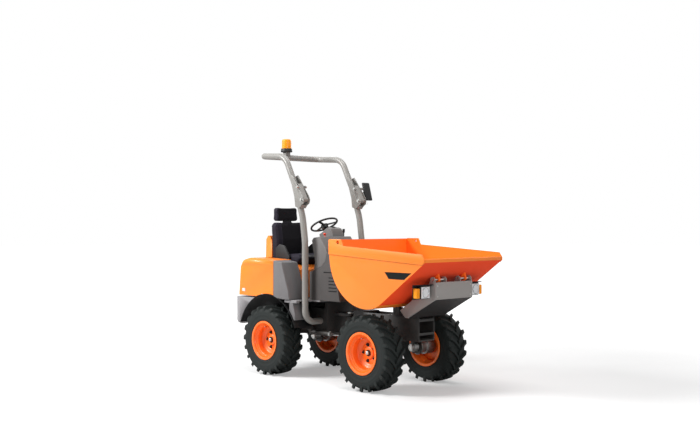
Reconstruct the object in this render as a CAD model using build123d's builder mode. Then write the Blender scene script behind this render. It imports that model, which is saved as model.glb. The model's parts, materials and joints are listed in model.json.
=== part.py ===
"""Compact articulated site dumper: front-tipping skip, folding roll hoop, four equal driven wheels.

Millimetres. +X forward, +Y left, +Z up. The origin is on the ground under the middle of the machine's
length. Side and plan outlines are drawn from the articulation axis, which stands at pivot_x.
"""
from build123d import *
from math import asin, atan2, cos, degrees, hypot, pi, radians, sin, sqrt
import os

os.makedirs("parts", exist_ok=True)

# ---------------------------------------------------------------- driving dimensions
pivot_x = -116.0            # articulation axis from the origin
half_wheelbase = 783.0      # each axle from the articulation axis
half_track = 474.5          # wheel centre from the middle plane
fit = 0.05                  # radial clearance of fixed pins and bolted seats
running = 0.1               # radial clearance of shafts that turn
seat_gap = 0.5              # clearance between faces that move past each other

tyre_radius = 390.0         # over the lugs
tyre_half_width = 132.0
carcass_radius = 364.0
bead_radius = 194.0
tyre_air = (104.0, 332.0)   # half width and outer radius of the air space
lug_count = 18              # on each half of the tread, half a pitch apart, and as many flats round the carcass
lug_sweep = 0.33            # turn about the wheel between the inner and the outer end of a lug
lug_width = 40.0
lug_reach = (4.0, 124.0)    # inner and outer end from the tyre's middle plane
lug_foot = 344.0
rim_lip_radius = 218.0
rim_half_width = 125.0
rim_wall = 6.0
rim_well_radius = 170.0
disc_face = -5.0            # outer face of the wheel disc from the wheel's middle plane
disc_wall = 8.0
hub_cap_radius = 46.0
stud_circle = 70.0
stud_count = 5
hub_bore_radius = 25.0
hub_bore_depth = 24.0
axle_height = tyre_radius

chassis_wall = 12.0
rear_rail_y = 200.0         # outer face of the rear chassis rails
rear_rail_low = 460.0
rear_rail_high = 760.0
rear_rail_front = -170.0
rear_rail_back = -1150.0
front_rail_y = 120.0
front_rail_low = 500.0
front_rail_high = 750.0
front_rail_back = 170.0
front_rail_front = 1130.0

fork_low = (470.0, 500.0)   # lower ear of the articulation fork
fork_high = (680.0, 710.0)
fork_radius = 62.0
joint_pin_radius = 30.0
barrel_radius = 58.0
barrel_gap = 3.0

hanger_y = (214.0, 230.0)   # plate that carries each wheel motor
motor_radius = 48.0
motor_flange_radius = 82.0
motor_inner_y = 137.0

body_half_width = 550.0
body_low = 875.0            # lower edge of hood and side panels
arch_radius = 517.0
arch_x = -800.0
arch_wall = 4.0
arch_inner_y = 300.0
floor_high = 860.0
floor_wall = 15.0
seat_box_high = 1232.0
seat_half_width = 235.0
seat_back_high = seat_box_high + 480
seat_back_corner = 58.0
headrest_low = seat_back_high + 22
headrest_high = headrest_low + 150
headrest_half_width = 150.0
hood_back = -1345.0
hood_front = -690.0
hood_wall = 6.0
hood_inner_y = 296.0
hood_top = 1310.0
hood_shoulder = 50.0        # radius of the hood's long upper edges
hump_half_width = 190.0
hood_pin = (-1366.0, 872.0)
hood_pin_radius = 7.0

tube_radius = 35.0
hoop_half_width = 433.0
hoop_pin = (-280.0, 1965.0)
hoop_split = 2020.0         # height where the folding hoop leaves its posts
cheek_gap = 2.0
cheek_wall = 10.0
hoop_pin_radius = 14.0

skip_half_width = 588.0
band_wall = 12.0
skip_wall = 6.0
tip_pin = (1460.0, 1150.0)
tip_pin_radius = 13.0
lug_y = (190.0, 210.0)
ear_inner_y = (100.0, 112.0)
nose_half_width = 280.0
nose_face = 1500.0

ram_foot = (380.0, 600.0)   # lower pin of the tipping ram
ram_eye = (1180.0, 930.0)
ram_radius = 35.0
ram_rod_radius = 18.0
steer_foot = (-360.0, -270.0)
steer_eye = (150.0, -250.0)
steer_height = 495.0
steer_radius = 25.0
steer_rod_radius = 13.0
steer_pin_radius = 12.0
eye_gap = 5.0               # play each side of an opened rod eye

wheel_tilt = 28.0           # steering wheel's lean towards the driver
steering_centre = (-440.0, 0.0, 1690.0)
steering_radius = 165.0
steering_rim = 11.0

beacon_x = -1050.0
beacon_y = -50.0
beacon_top = 2700.0
beacon_radius = 56.0
beacon_lens_height = 112.0
beacon_base_radius = 68.0
beacon_base_height = 42.0
beacon_stand_sunk = 14.0  # how deep the bracket under the beacon sits in the hoop's crown
hoop_crown = 2480.0       # height of the hoop's rear tube, at its axis

lamp_face = 1463.0          # front of the headlamp lenses
lamp_y = (315.0, 445.0)
lamp_z = (968.0, 1094.0)


# ---------------------------------------------------------------- planes and small shapes
def side_plane(y):
    """Vertical plane seen from the right: local x runs forward from the articulation axis."""
    return Plane(origin=(pivot_x, y, 0), x_dir=(1, 0, 0), z_dir=(0, -1, 0))


def deck_plane(z):
    """Level plane with its origin on the articulation axis."""
    return Plane(origin=(pivot_x, 0, z), x_dir=(1, 0, 0), z_dir=(0, 0, 1))


def slab(xs, ys, zs, mode=Mode.ADD):
    """Block between two stations on each axis."""
    with Locations((pivot_x + sum(xs) / 2, sum(ys) / 2, sum(zs) / 2)):
        Box(xs[1] - xs[0], ys[1] - ys[0], zs[1] - zs[0], mode=mode)


def side_plate(points, ys, mode=Mode.ADD):
    """Plate with a side-view outline, between two y stations."""
    with BuildSketch(side_plane(ys[1])) as outline:
        with BuildLine():
            Polyline(*points, close=True)
        make_face()
    extrude(outline.sketch, amount=ys[1] - ys[0], mode=mode)


def deck_plate(points, zs, mode=Mode.ADD):
    """Plate with a plan outline, between two heights."""
    with BuildSketch(deck_plane(zs[0])) as outline:
        with BuildLine():
            Polyline(*points, close=True)
        make_face()
    extrude(outline.sketch, amount=zs[1] - zs[0], mode=mode)


def bar_y(x, z, ys, radius, mode=Mode.ADD):
    """Round bar along Y."""
    with BuildSketch(side_plane(ys[1])) as outline:
        with Locations((x, z)):
            Circle(radius)
    extrude(outline.sketch, amount=ys[1] - ys[0], mode=mode)


def bar_z(x, y, zs, radius, mode=Mode.ADD):
    """Round bar along Z."""
    with BuildSketch(deck_plane(zs[0])) as outline:
        with Locations((x, y)):
            Circle(radius)
    extrude(outline.sketch, amount=zs[1] - zs[0], mode=mode)


def both_sides(ys):
    """The same stretch of y on the right and on the left."""
    return [(-ys[1], -ys[0]), (ys[0], ys[1])]


def save(piece, name):
    """Label one finished sub-part and write its STEP file."""
    piece.part.label = name
    export_step(piece.part, f"parts/{name}.step")


# ---------------------------------------------------------------- rear chassis and articulation
with BuildPart() as rear_chassis:
    for ys in both_sides((rear_rail_y - chassis_wall, rear_rail_y)):
        slab((rear_rail_back, rear_rail_front), ys, (rear_rail_low, rear_rail_high))
    inner_y = rear_rail_y - chassis_wall
    slab((rear_rail_back, rear_rail_front), (-inner_y, inner_y), (rear_rail_low, rear_rail_low + chassis_wall))
    for x in (rear_rail_front - chassis_wall, -520.0):
        slab((x, x + chassis_wall), (-inner_y, inner_y), (rear_rail_low, rear_rail_high))
    for zs in (fork_low, fork_high):
        deck_plate([(rear_rail_front, -90), (0, -fork_radius), (0, fork_radius), (rear_rail_front, 90)], zs)
        bar_z(0, 0, zs, fork_radius)
        bar_z(0, 0, zs, joint_pin_radius + fit, mode=Mode.SUBTRACT)
    # clevis of the steering ram
    for zs in ((steer_height - 30, steer_height - 18), (steer_height + 18, steer_height + 30)):
        slab((steer_foot[0] - 30, steer_foot[0] + 26), (steer_foot[1] - 28, -rear_rail_y), zs)
    bar_z(*steer_foot, (steer_height - 18, steer_height + 18), steer_pin_radius)
    # cross bars under the floor and the seat box
    for x in (-430.0, rear_rail_front - 20):
        slab((x - 20, x + 20), (-rear_rail_y, rear_rail_y), (rear_rail_high, floor_high - floor_wall))
save(rear_chassis, "rear_chassis")

with BuildPart() as articulation_pin:
    bar_z(0, 0, (fork_low[0] - 12, fork_high[1]), joint_pin_radius)
    bar_z(0, 0, (fork_high[1], fork_high[1] + 12), joint_pin_radius + 16)
save(articulation_pin, "articulation_pin")


# ---------------------------------------------------------------- axles, wheel motors and wheels
def axle(x, top):
    """Hanger plates and saddle that hold the two wheel motors of one axle."""
    with BuildPart() as piece:
        for ys in both_sides(hanger_y):
            side_plate([(x - 80, top - 20), (x - 60, axle_height - 70), (x + 60, axle_height - 70), (x + 80, top - 20)], ys)
            bar_y(x, axle_height, ys, motor_radius + fit, mode=Mode.SUBTRACT)
        slab((x - 85, x + 85), (-hanger_y[1], hanger_y[1]), (top - 20, top))
    return piece


def wheel_motors(x):
    """Two hydraulic wheel motors, each a turned housing on the axle line."""
    steps = ((motor_inner_y, 8, 40), (motor_inner_y + 8, hanger_y[1] - motor_inner_y - 8, motor_radius),
             (hanger_y[1], 14, motor_flange_radius), (hanger_y[1] + 14, 80, 68),
             (hanger_y[1] + 94, 112, 84), (hanger_y[1] + 206, 0, 0))
    hub_face = half_track + disc_face - disc_wall
    with BuildPart() as piece:
        for side in (-1, 1):
            for start, length, radius in steps[:-1]:
                ys = sorted((side * start, side * (start + length)))
                bar_y(x, axle_height, ys, radius)
            for start, end, radius in ((steps[-1][0], hub_face - seat_gap, 62),
                                       (hub_face - seat_gap, hub_face + hub_bore_depth - 1, hub_bore_radius - running)):
                bar_y(x, axle_height, sorted((side * start, side * end)), radius)
    return piece


def lug(side):
    """One tread bar at the top of the tyre; its inner end leads when the wheel rolls forward."""
    lead = tyre_radius * sin(lug_sweep / 2)
    top = sqrt(tyre_radius ** 2 - (lead + lug_width / 2) ** 2)
    inner, outer = side * lug_reach[0], side * lug_reach[1]
    half = lug_width / 2
    with BuildPart() as piece:
        with BuildSketch(Plane.XY.offset(lug_foot)) as plan:
            with BuildLine():
                Polyline((lead - half, inner), (lead + half, inner), (-lead + half, outer), (-lead - half, outer), close=True)
            make_face()
        extrude(plan.sketch, amount=top - lug_foot)
    return piece.part


def tyre_form():
    """Tyre about the Y axis: a ring of flat-sided segments, hollow inside, with two rows of lugs."""
    pitch = 360 / lug_count
    half_pitch = pi / lug_count
    half_section = [(0, carcass_radius), (tyre_half_width - 20, carcass_radius), (tyre_half_width - 5, 346),
                    (tyre_half_width, 300), (tyre_half_width - 14, bead_radius + 0.3), (0, bead_radius + 0.3)]
    with BuildPart() as segment:
        with BuildSketch(Plane.YZ) as outline:
            with BuildLine():
                Polyline(*half_section, *[(-y, z) for y, z in reversed(half_section[1:-1])], close=True)
            make_face()
            with Locations((0, (tyre_air[1] + 230) / 2)):
                Rectangle(2 * tyre_air[0], tyre_air[1] - 230, mode=Mode.SUBTRACT)
        extrude(outline.sketch, amount=100, both=True)
        with BuildSketch(Plane.XZ) as sector:
            with BuildLine():
                Polyline((0, 0), (500 * sin(half_pitch), 500 * cos(half_pitch)), (-500 * sin(half_pitch), 500 * cos(half_pitch)),
                         close=True)
            make_face()
        extrude(sector.sketch, amount=200, both=True, mode=Mode.INTERSECT)
    # one lug's outer corner stands exactly under the axle
    first = 180 - degrees(asin((tyre_radius * sin(lug_sweep / 2) + lug_width / 2) / tyre_radius))
    bars = [Rotation(0, first + (turn + row / 2) * pitch, 0) * lug(side)
            for row, side in enumerate((-1, 1)) for turn in range(lug_count)]
    with BuildPart() as piece:
        add([Rotation(0, turn * pitch, 0) * segment.part for turn in range(lug_count)])
        add(bars)
    return piece.part


def tyre(form, x, y):
    """The tyre's form at one wheel."""
    with BuildPart() as piece:
        add(form.moved(Location((pivot_x + x, y, axle_height))))
    return piece


def rim(x, y):
    """Pressed rim with a drop well, disc, hub with a blind bore, cap and studs; outboard is away from y = 0."""
    side = 1 if y > 0 else -1
    outer = rim_half_width + rim_wall
    well_in, well_out = -34.0, 90.0
    wheel_plane = Plane(origin=(pivot_x + x, y, axle_height), x_dir=(1, 0, 0), z_dir=(0, side, 0))
    profile_plane = Plane(origin=(pivot_x + x, y, axle_height), x_dir=(0, side, 0), z_dir=(1, 0, 0))
    lift = profile_plane.y_dir.Z            # the profile's radius runs up or down, and either is right
    barrel = [(outer, rim_lip_radius), (rim_half_width, rim_lip_radius), (rim_half_width, bead_radius),
              (well_out + 16, bead_radius), (well_out, rim_well_radius), (well_in, rim_well_radius),
              (well_in - 16, bead_radius), (-rim_half_width, bead_radius), (-rim_half_width, rim_lip_radius),
              (-outer, rim_lip_radius), (-outer, bead_radius - rim_wall), (well_in - 18, bead_radius - rim_wall),
              (well_in - 2, rim_well_radius - rim_wall), (well_out + 2, rim_well_radius - rim_wall),
              (well_out + 18, bead_radius - rim_wall), (outer, bead_radius - rim_wall)]
    with BuildPart() as piece:
        with BuildSketch(profile_plane) as section:
            with BuildLine():
                Polyline(*[(offset, lift * radius) for offset, radius in barrel], close=True)
            make_face()
        revolve(section.sketch, axis=Axis((pivot_x + x, y, axle_height), (0, 1, 0)))
        for start, end, radius in ((disc_face - disc_wall, disc_face, rim_well_radius - 2),
                                   (disc_face, disc_face + 22, 62), (disc_face + 22, disc_face + 44, hub_cap_radius)):
            with BuildSketch(wheel_plane.offset(start)) as step:
                Circle(radius)
            extrude(step.sketch, amount=end - start)
        with BuildSketch(wheel_plane.offset(disc_face)) as studs:
            with PolarLocations(stud_circle + 16, stud_count):
                Circle(9)
        extrude(studs.sketch, amount=20)
        with BuildSketch(wheel_plane.offset(disc_face - disc_wall)) as bore:
            Circle(hub_bore_radius)
        extrude(bore.sketch, amount=hub_bore_depth, mode=Mode.SUBTRACT)
    return piece


save(axle(-half_wheelbase, rear_rail_low), "rear_axle")
save(axle(half_wheelbase, front_rail_low), "front_axle")
save(wheel_motors(-half_wheelbase), "rear_wheel_motors")
save(wheel_motors(half_wheelbase), "front_wheel_motors")
lugged = tyre_form()
for end, x in (("front", half_wheelbase), ("rear", -half_wheelbase)):
    for hand, y in (("left", half_track), ("right", -half_track)):
        save(tyre(lugged, x, y), f"tyre_{end}_{hand}")
        save(rim(x, y), f"rim_{end}_{hand}")


# ---------------------------------------------------------------- rear body
def arch_cut(ys):
    """Clear the wheel arch from the piece in hand."""
    bar_y(arch_x, axle_height, ys, arch_radius + 0.3, mode=Mode.SUBTRACT)


with BuildPart() as counterweight:
    back = -1395.0
    slab((back, -1000), (-body_half_width, body_half_width), (540, 855))
    for ys in both_sides((arch_inner_y - arch_wall - 0.3, body_half_width + 1)):
        arch_cut(ys)
    slab((rear_rail_back, -900), (-arch_inner_y, arch_inner_y), (500, 900), mode=Mode.SUBTRACT)
    fillet(counterweight.edges().filter_by(Axis.Z).group_by(Axis.X)[0], 70)
    fillet(counterweight.edges().filter_by(Axis.Y).group_by(Axis.Z)[0].group_by(Axis.X)[0], 45)
    # towing jaw: a slot with an upright pin hole, and a pocket above it
    slab((back, back + 90), (-70, 70), (600, 660), mode=Mode.SUBTRACT)
    slab((back, back + 90), (-40, 40), (700, 780), mode=Mode.SUBTRACT)
    bar_z(back + 42, 0, (500, 740), 14, mode=Mode.SUBTRACT)
save(counterweight, "counterweight")

with BuildPart() as engine_block:
    slab((-1090, -560), (-165, 165), (rear_rail_low + chassis_wall, 840))
save(engine_block, "engine_block")

with BuildPart() as arch_liners:
    for ys in both_sides((arch_inner_y, body_half_width - 2)):
        bar_y(arch_x, axle_height, ys, arch_radius)
        bar_y(arch_x, axle_height, ys, arch_radius - arch_wall, mode=Mode.SUBTRACT)
    for ys in both_sides((arch_inner_y - arch_wall, arch_inner_y)):
        bar_y(arch_x, axle_height, ys, arch_radius)
    slab((arch_x - 600, arch_x + 600), (-700, 700), (-200, 560), mode=Mode.SUBTRACT)
save(arch_liners, "arch_liners")

with BuildPart() as side_panels:
    for ys in both_sides((310, body_half_width)):
        side_plate([(-683, body_low), (-683, 1290), (-545, 1270), (-430, 970), (-405, 862), (-520, 862)], ys)
        arch_cut(ys)
    # low skirt from the arch forward to the step
    for ys in both_sides((310, body_half_width - 20)):
        side_plate([(-430, 827), (-370, 827), (-330, 700), (-330, 640), (-430, 640)], ys)
        arch_cut(ys)
save(side_panels, "side_panels")

with BuildPart() as platform_floor:
    slab((-620, -520), (-290, 290), (floor_high - floor_wall, floor_high))
    slab((-520, -312), (-480, 480), (floor_high - floor_wall, floor_high))
    slab((-312, -236), (-390, 390), (floor_high - floor_wall, floor_high))
    slab((-236, -120), (-350, 350), (floor_high - floor_wall, floor_high))
    # entry step bars outboard of the floor
    for ys in both_sides((480, 525)):
        slab((-515, -312), ys, (828, floor_high))
save(platform_floor, "platform_floor")

with BuildPart() as seat_box:
    side_plate([(-1110, floor_high), (-1110, seat_box_high), (-640, seat_box_high), (-560, 1180), (-560, floor_high)],
               (-255, 255))
save(seat_box, "seat_box")

with BuildPart() as seat_cushion:
    side_plate([(-1010, seat_box_high + 0.3), (-1010, seat_box_high + 98), (-620, seat_box_high + 118),
                (-590, seat_box_high + 88), (-645, seat_box_high + 0.3)], (-seat_half_width, seat_half_width))
save(seat_cushion, "seat_cushion")

with BuildPart() as seat_back:
    side_plate([(-1010.5, seat_box_high + 8), (-1075, seat_box_high + 28), (-1125, seat_back_high), (-1045, seat_back_high),
                (-1010.5, seat_back_high - 200)], (-seat_half_width + 8, seat_half_width - 8))
    fillet(seat_back.edges().filter_by(Axis.X).group_by(Axis.Z)[-1], seat_back_corner)
    # neck that carries the headrest
    slab((-1122, -1090), (-60, 60), (seat_back_high - 10, headrest_low - 0.3))
save(seat_back, "seat_back")

with BuildPart() as headrest:
    side_plate([(-1168, headrest_low), (-1165, headrest_high), (-1098, headrest_high), (-1090, headrest_low)],
               (-headrest_half_width, headrest_half_width))
    fillet(headrest.edges().filter_by(Axis.X), 26)
save(headrest, "headrest")

with BuildPart() as seat_sides:
    for ys in both_sides((seat_half_width + 1, seat_half_width + 23)):
        side_plate([(-1000, seat_box_high + 0.3), (-1000, seat_box_high + 188), (-930, seat_box_high + 233),
                    (-850, seat_box_high + 218), (-760, seat_box_high + 98), (-760, seat_box_high + 0.3)], ys)
save(seat_sides, "seat_sides")


console_half_width = 350.0
pod_half_width = 86.0
console_back = -235.0       # the face towards the driver's feet
cheek_back = -296.0         # rear edge of the console's side walls


def console_top(x):
    """Height of the console's sloping side edge."""
    return 1170 + (x - cheek_back) * 0.317


# joint between the console and the dash that stands on it, from the rear to the front
dash_seam = [(-110, console_top(-110)), (-45, 1290), (-10, 1387)]

with BuildPart() as console:
    side_plate([(console_back, floor_high), (console_back, console_top(console_back)), *dash_seam, (60, 1400), (118, 1240),
                (200, floor_high)], (-console_half_width, console_half_width))
    for ys in both_sides((console_half_width - 20, console_half_width)):
        side_plate([(cheek_back, floor_high), (cheek_back, console_top(cheek_back)),
                    (console_back, console_top(console_back)), (console_back, floor_high)], ys)
save(console, "console")

column_x, column_z = -sin(radians(wheel_tilt)), cos(radians(wheel_tilt))


def on_column(along, across):
    """Side-view point measured along the steering column from the wheel, and across it towards the front."""
    return (steering_centre[0] + along * column_x + across * column_z, steering_centre[2] + along * column_z - across * column_x)


with BuildPart() as dash_pod:
    # the casing is higher on the right
    for high, ys in ((1560, (-console_half_width + 8, 130)), (1490, (130, console_half_width - 8))):
        side_plate([(console_back, console_top(console_back)), *dash_seam, (-40, high - 120), (-135, high),
                    (-240, high - 14), (-268, high - 45), (-212, 1285)], ys)
    # instrument pod and column cover
    side_plate([on_column(-100, -45), on_column(-100, 37), (-330, 1642), (-285, 1660), (-240, 1646), (-208, 1600),
                (-200, 1500), (-240, 1400), (-300, 1400), (-400, 1490)], (-pod_half_width, pod_half_width))
save(dash_pod, "dash_pod")

steering_plane = Plane(origin=(pivot_x + steering_centre[0], steering_centre[1], steering_centre[2]),
                       x_dir=(column_z, 0, -column_x), z_dir=(column_x, 0, column_z))
with BuildPart(steering_plane) as steering_column:
    with Locations((0, 0, -85)):
        Cylinder(34, 30)
    with Locations((0, 0, -58)):
        Cylinder(14, 84)
save(steering_column, "steering_column")

with BuildPart(steering_plane) as steering_wheel:
    Torus(steering_radius - steering_rim, steering_rim)
    with Locations((0, 0, -22)):
        Cylinder(40, 40)
    with PolarLocations(steering_radius / 2, 3, start_angle=180):
        with Locations((0, 0, -6)):
            Box(steering_radius - 2 * steering_rim, 26, 10)
    with Locations((0, 0, -42 + 14)):
        Cylinder(14 + running, 28.5, mode=Mode.SUBTRACT)
save(steering_wheel, "steering_wheel")

with BuildPart() as pedals:
    for ys in ((-150, -80), (80, 150)):
        side_plate([(-330, floor_high + 0.3), (-240, 960), (-235, 960), (-235, 925), (-318, floor_high + 0.3)], ys)
save(pedals, "pedals")

lever_foot = (-228.0, pod_half_width + 20)
with BuildPart() as control_lever:
    bar_z(*lever_foot, (1548.6, 1600), 7)
    bar_z(*lever_foot, (1600, 1642), 14)
save(control_lever, "control_lever")

with BuildPart() as rear_lamps:
    for ys in both_sides((400, 500)):
        slab((back - 8, back), ys, (700, 770))
save(rear_lamps, "rear_lamps")


# ---------------------------------------------------------------- roll hoop
def post_x(z):
    """Middle line of the leaning upper post."""
    return -310 + (z - 1770) * -0.348


def tube_path(points, radii):
    """Sweep the hoop's round tube along straight runs joined by arcs."""
    with BuildLine() as path:
        FilletPolyline(*[(pivot_x + x, y, z) for x, y, z in points], radius=radii)
    with BuildSketch(Plane(origin=path.line @ 0, z_dir=path.line % 0)) as section:
        Circle(tube_radius)
    sweep(section.sketch, path=path.line)


cheek = [(-478, 2228), (-440, 2240), (-372, 2150), (-262, 2012), (-240, 1965), (-252, 1925), (-285, 1905), (-320, 1870),
         (-385, 1890), (-400, 2000)]
with BuildPart() as roll_posts:
    for side in (-1, 1):
        y = side * hoop_half_width
        tube_path([(-270, side * rear_rail_y, 620), (-270, y, 620), (-270, y, 1500), (-310, y, 1770),
                   (post_x(hoop_split - 3), y, hoop_split - 3)], [130, 500, 500])
        for ys in both_sides((tube_radius + cheek_gap, tube_radius + cheek_gap + cheek_wall)):
            side_plate(cheek, (y + ys[0], y + ys[1]))
        slab((-345, -300), (y - tube_radius - cheek_gap, y + tube_radius + cheek_gap), (1872, 1910))
        bar_y(*hoop_pin, (y - tube_radius - 20, y + tube_radius + 20), hoop_pin_radius)
        for ys in both_sides((tube_radius + cheek_gap + cheek_wall, tube_radius + cheek_gap + cheek_wall + 14)):
            bar_y(-335, 2105, (y + ys[0], y + ys[1]), 16)
save(roll_posts, "roll_posts")

beacon_foot = beacon_top - beacon_lens_height - beacon_base_height
with BuildPart() as roll_hoop:
    y = hoop_half_width
    tube_path([(post_x(hoop_split), -y, hoop_split), (-425, -y, 2100), (-612, -y, 2455), (-1050, -y, hoop_crown),
               (-1050, y, hoop_crown), (-612, y, 2455), (-425, y, 2100), (post_x(hoop_split), y, hoop_split)],
              [400, 180, 100, 100, 180, 400])
    for side in (-1, 1):
        ys = (side * y - tube_radius + 4, side * y + tube_radius - 4)
        bar_y(*hoop_pin, ys, 27)
        side_plate([(-262, 1985), (-300, 1946), (-345, 2040), (-372, 2052), (-410, 2130), (-360, 2145)], ys)
        bar_y(*hoop_pin, ys, hoop_pin_radius + running, mode=Mode.SUBTRACT)
    slab((beacon_x - 30, beacon_x + 30), (beacon_y - 32, beacon_y + 32),
         (hoop_crown + tube_radius - beacon_stand_sunk, beacon_foot))
save(roll_hoop, "roll_hoop")

with BuildPart() as beacon_base:
    bar_z(beacon_x, beacon_y, (beacon_foot, beacon_foot + beacon_base_height), beacon_base_radius)
save(beacon_base, "beacon_base")

with BuildPart() as beacon_lens:
    bar_z(beacon_x, beacon_y, (beacon_foot + beacon_base_height, beacon_top), beacon_radius)
    fillet(beacon_lens.edges().group_by(Axis.Z)[-1], 14)
save(beacon_lens, "beacon_lens")

with BuildPart() as mirror_arm:
    cheek_outer = hoop_half_width + tube_radius + cheek_gap + cheek_wall
    bar_y(-300, 2060, (cheek_outer, 498), 8)
save(mirror_arm, "mirror_arm")

with BuildPart() as mirror:
    # leans back at the top
    side_plate([(-351, 2180), (-315, 2180), (-257, 1970), (-293, 1970)], (498.3, 603))
save(mirror, "mirror")


# ---------------------------------------------------------------- hood
def hood_form(inset):
    """Outer form of the hood without its hump, each wall moved in by the inset; the lower edge stays open."""
    low = body_low - 40 if inset else body_low
    back, front, top = hood_back + inset, hood_front - inset, hood_top - inset
    half_width = body_half_width - 2 - inset
    with BuildPart() as form:
        with BuildSketch(side_plane(half_width)) as outline:
            with BuildLine():
                corners = [(back, low), (back + 30, 1210), (back + 75, top - 28), (back + 190, top), (front, top - 15), (front, low)]
                FilletPolyline(*corners[:-1], radius=[60, 60, 200])
                Polyline(*corners[-2:], corners[0])
            make_face()
        extrude(outline.sketch, amount=2 * half_width)
        long_edges = [edge for edge in form.edges()
                      if abs(abs(edge.center().Y) - half_width) < 0.01 and edge.center().Z > 1225
                      and abs(edge.center().X - pivot_x - front) > 1]
        fillet(long_edges, hood_shoulder - inset)
    return form.part


def hood_hump(inset):
    """Side view of the raised part behind the seat."""
    low = 900 if inset else 1100
    return [(hood_back + 70 + inset, low), (hood_back + 88 + inset, 1515), (hood_back + 122 + inset, 1560 - inset),
            (-1190 - inset, 1560 - inset), (-1150 - inset, 1500), (-1150 - inset, low)]


with BuildPart() as hood_rooms:
    add(hood_form(hood_wall))
    for ys in both_sides((hood_inner_y, hood_inner_y + hood_wall)):
        slab((hood_back, hood_front), ys, (body_low - 50, hood_top), mode=Mode.SUBTRACT)
    slab((-1150 - hood_wall, hood_front), (-hood_inner_y, hood_inner_y), (body_low - 50, hood_top), mode=Mode.SUBTRACT)

with BuildPart() as hood:
    add(hood_form(0))
    slab((-1150, hood_front + 5), (-hood_inner_y, hood_inner_y), (800, 1400), mode=Mode.SUBTRACT)
    side_plate(hood_hump(0), (-hump_half_width, hump_half_width))
    side_plate(hood_hump(hood_wall), (-hump_half_width + hood_wall, hump_half_width - hood_wall), mode=Mode.SUBTRACT)
    add(hood_rooms.part, mode=Mode.SUBTRACT)
    for ys in both_sides((hood_inner_y - 1, body_half_width + 1)):
        bar_y(arch_x, axle_height, ys, arch_radius + 5, mode=Mode.SUBTRACT)
    for ys in both_sides((221, 235)):
        bar_y(*hood_pin, ys, 14)
        side_plate([(hood_pin[0] - 2, hood_pin[1] + 13), (hood_back + 10, hood_pin[1] + 60), (hood_back + 1, hood_pin[1] + 3),
                    (hood_pin[0] + 4, hood_pin[1] - 8)], ys)
        bar_y(*hood_pin, ys, hood_pin_radius + running, mode=Mode.SUBTRACT)
save(hood, "hood")

with BuildPart() as hood_hinges:
    for ys in both_sides((190, 220)):
        side_plate([(hood_pin[0] - 14, 855), (hood_pin[0] - 14, hood_pin[1]), (hood_pin[0] + 14, hood_pin[1]),
                    (hood_pin[0] + 14, 855)], ys)
        bar_y(*hood_pin, ys, 14)
    for ys in both_sides((190, 240)):
        bar_y(*hood_pin, ys, hood_pin_radius)
save(hood_hinges, "hood_hinges")


# ---------------------------------------------------------------- front chassis and nose
with BuildPart() as front_chassis:
    for ys in both_sides((front_rail_y - chassis_wall, front_rail_y)):
        slab((front_rail_back, front_rail_front), ys, (front_rail_low, front_rail_high))
    inner_y = front_rail_y - chassis_wall
    slab((front_rail_back, front_rail_front), (-inner_y, inner_y), (front_rail_low, front_rail_low + chassis_wall))
    slab((front_rail_back, front_rail_back + chassis_wall), (-inner_y, inner_y), (front_rail_low, front_rail_high))
    # the front end is open between two cross bars
    for zs in ((560, 585), (700, 725)):
        slab((front_rail_front - 25, front_rail_front), (-inner_y, inner_y), zs)
    slab((front_rail_back, 330), (-front_rail_y, front_rail_y), (front_rail_high, front_rail_high + chassis_wall))
    neck_low, neck_high = fork_low[1] + barrel_gap, fork_high[0] - barrel_gap
    for zs in ((neck_low, neck_low + chassis_wall), (neck_high - chassis_wall, neck_high)):
        deck_plate([(0, -barrel_radius), (front_rail_back, -inner_y), (front_rail_back, inner_y), (0, barrel_radius)], zs)
    slab((30, front_rail_back), (-8, 8), (neck_low, neck_high))
    bar_z(0, 0, (neck_low, neck_high), barrel_radius)
    bar_z(0, 0, (neck_low, neck_high), joint_pin_radius + running, mode=Mode.SUBTRACT)
    bar_y(*ram_foot, (-inner_y, inner_y), 15)
    # bracket of the steering ram's rod eye
    slab((steer_eye[0] + 20, steer_eye[0] + 60), (-front_rail_y - chassis_wall, -front_rail_y), (465, 560))
    for zs in ((465, 475), (515, 525)):
        deck_plate([(steer_eye[0] + 60, -front_rail_y), (steer_eye[0] - 18, steer_eye[1] + 20),
                    (steer_eye[0] - 18, steer_eye[1] - 24), (steer_eye[0] + 26, steer_eye[1] - 24),
                    (steer_eye[0] + 110, -front_rail_y)], zs)
    # pads that the skip rests on
    for ys in both_sides((86, 146)):
        slab((790, 880), ys, (front_rail_high, 839))
save(front_chassis, "front_chassis")


def belly(x):
    """Height of the nose's sloping underside."""
    return 760 + (x - front_rail_front) * (957 - 760) / (nose_face - front_rail_front)


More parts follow.
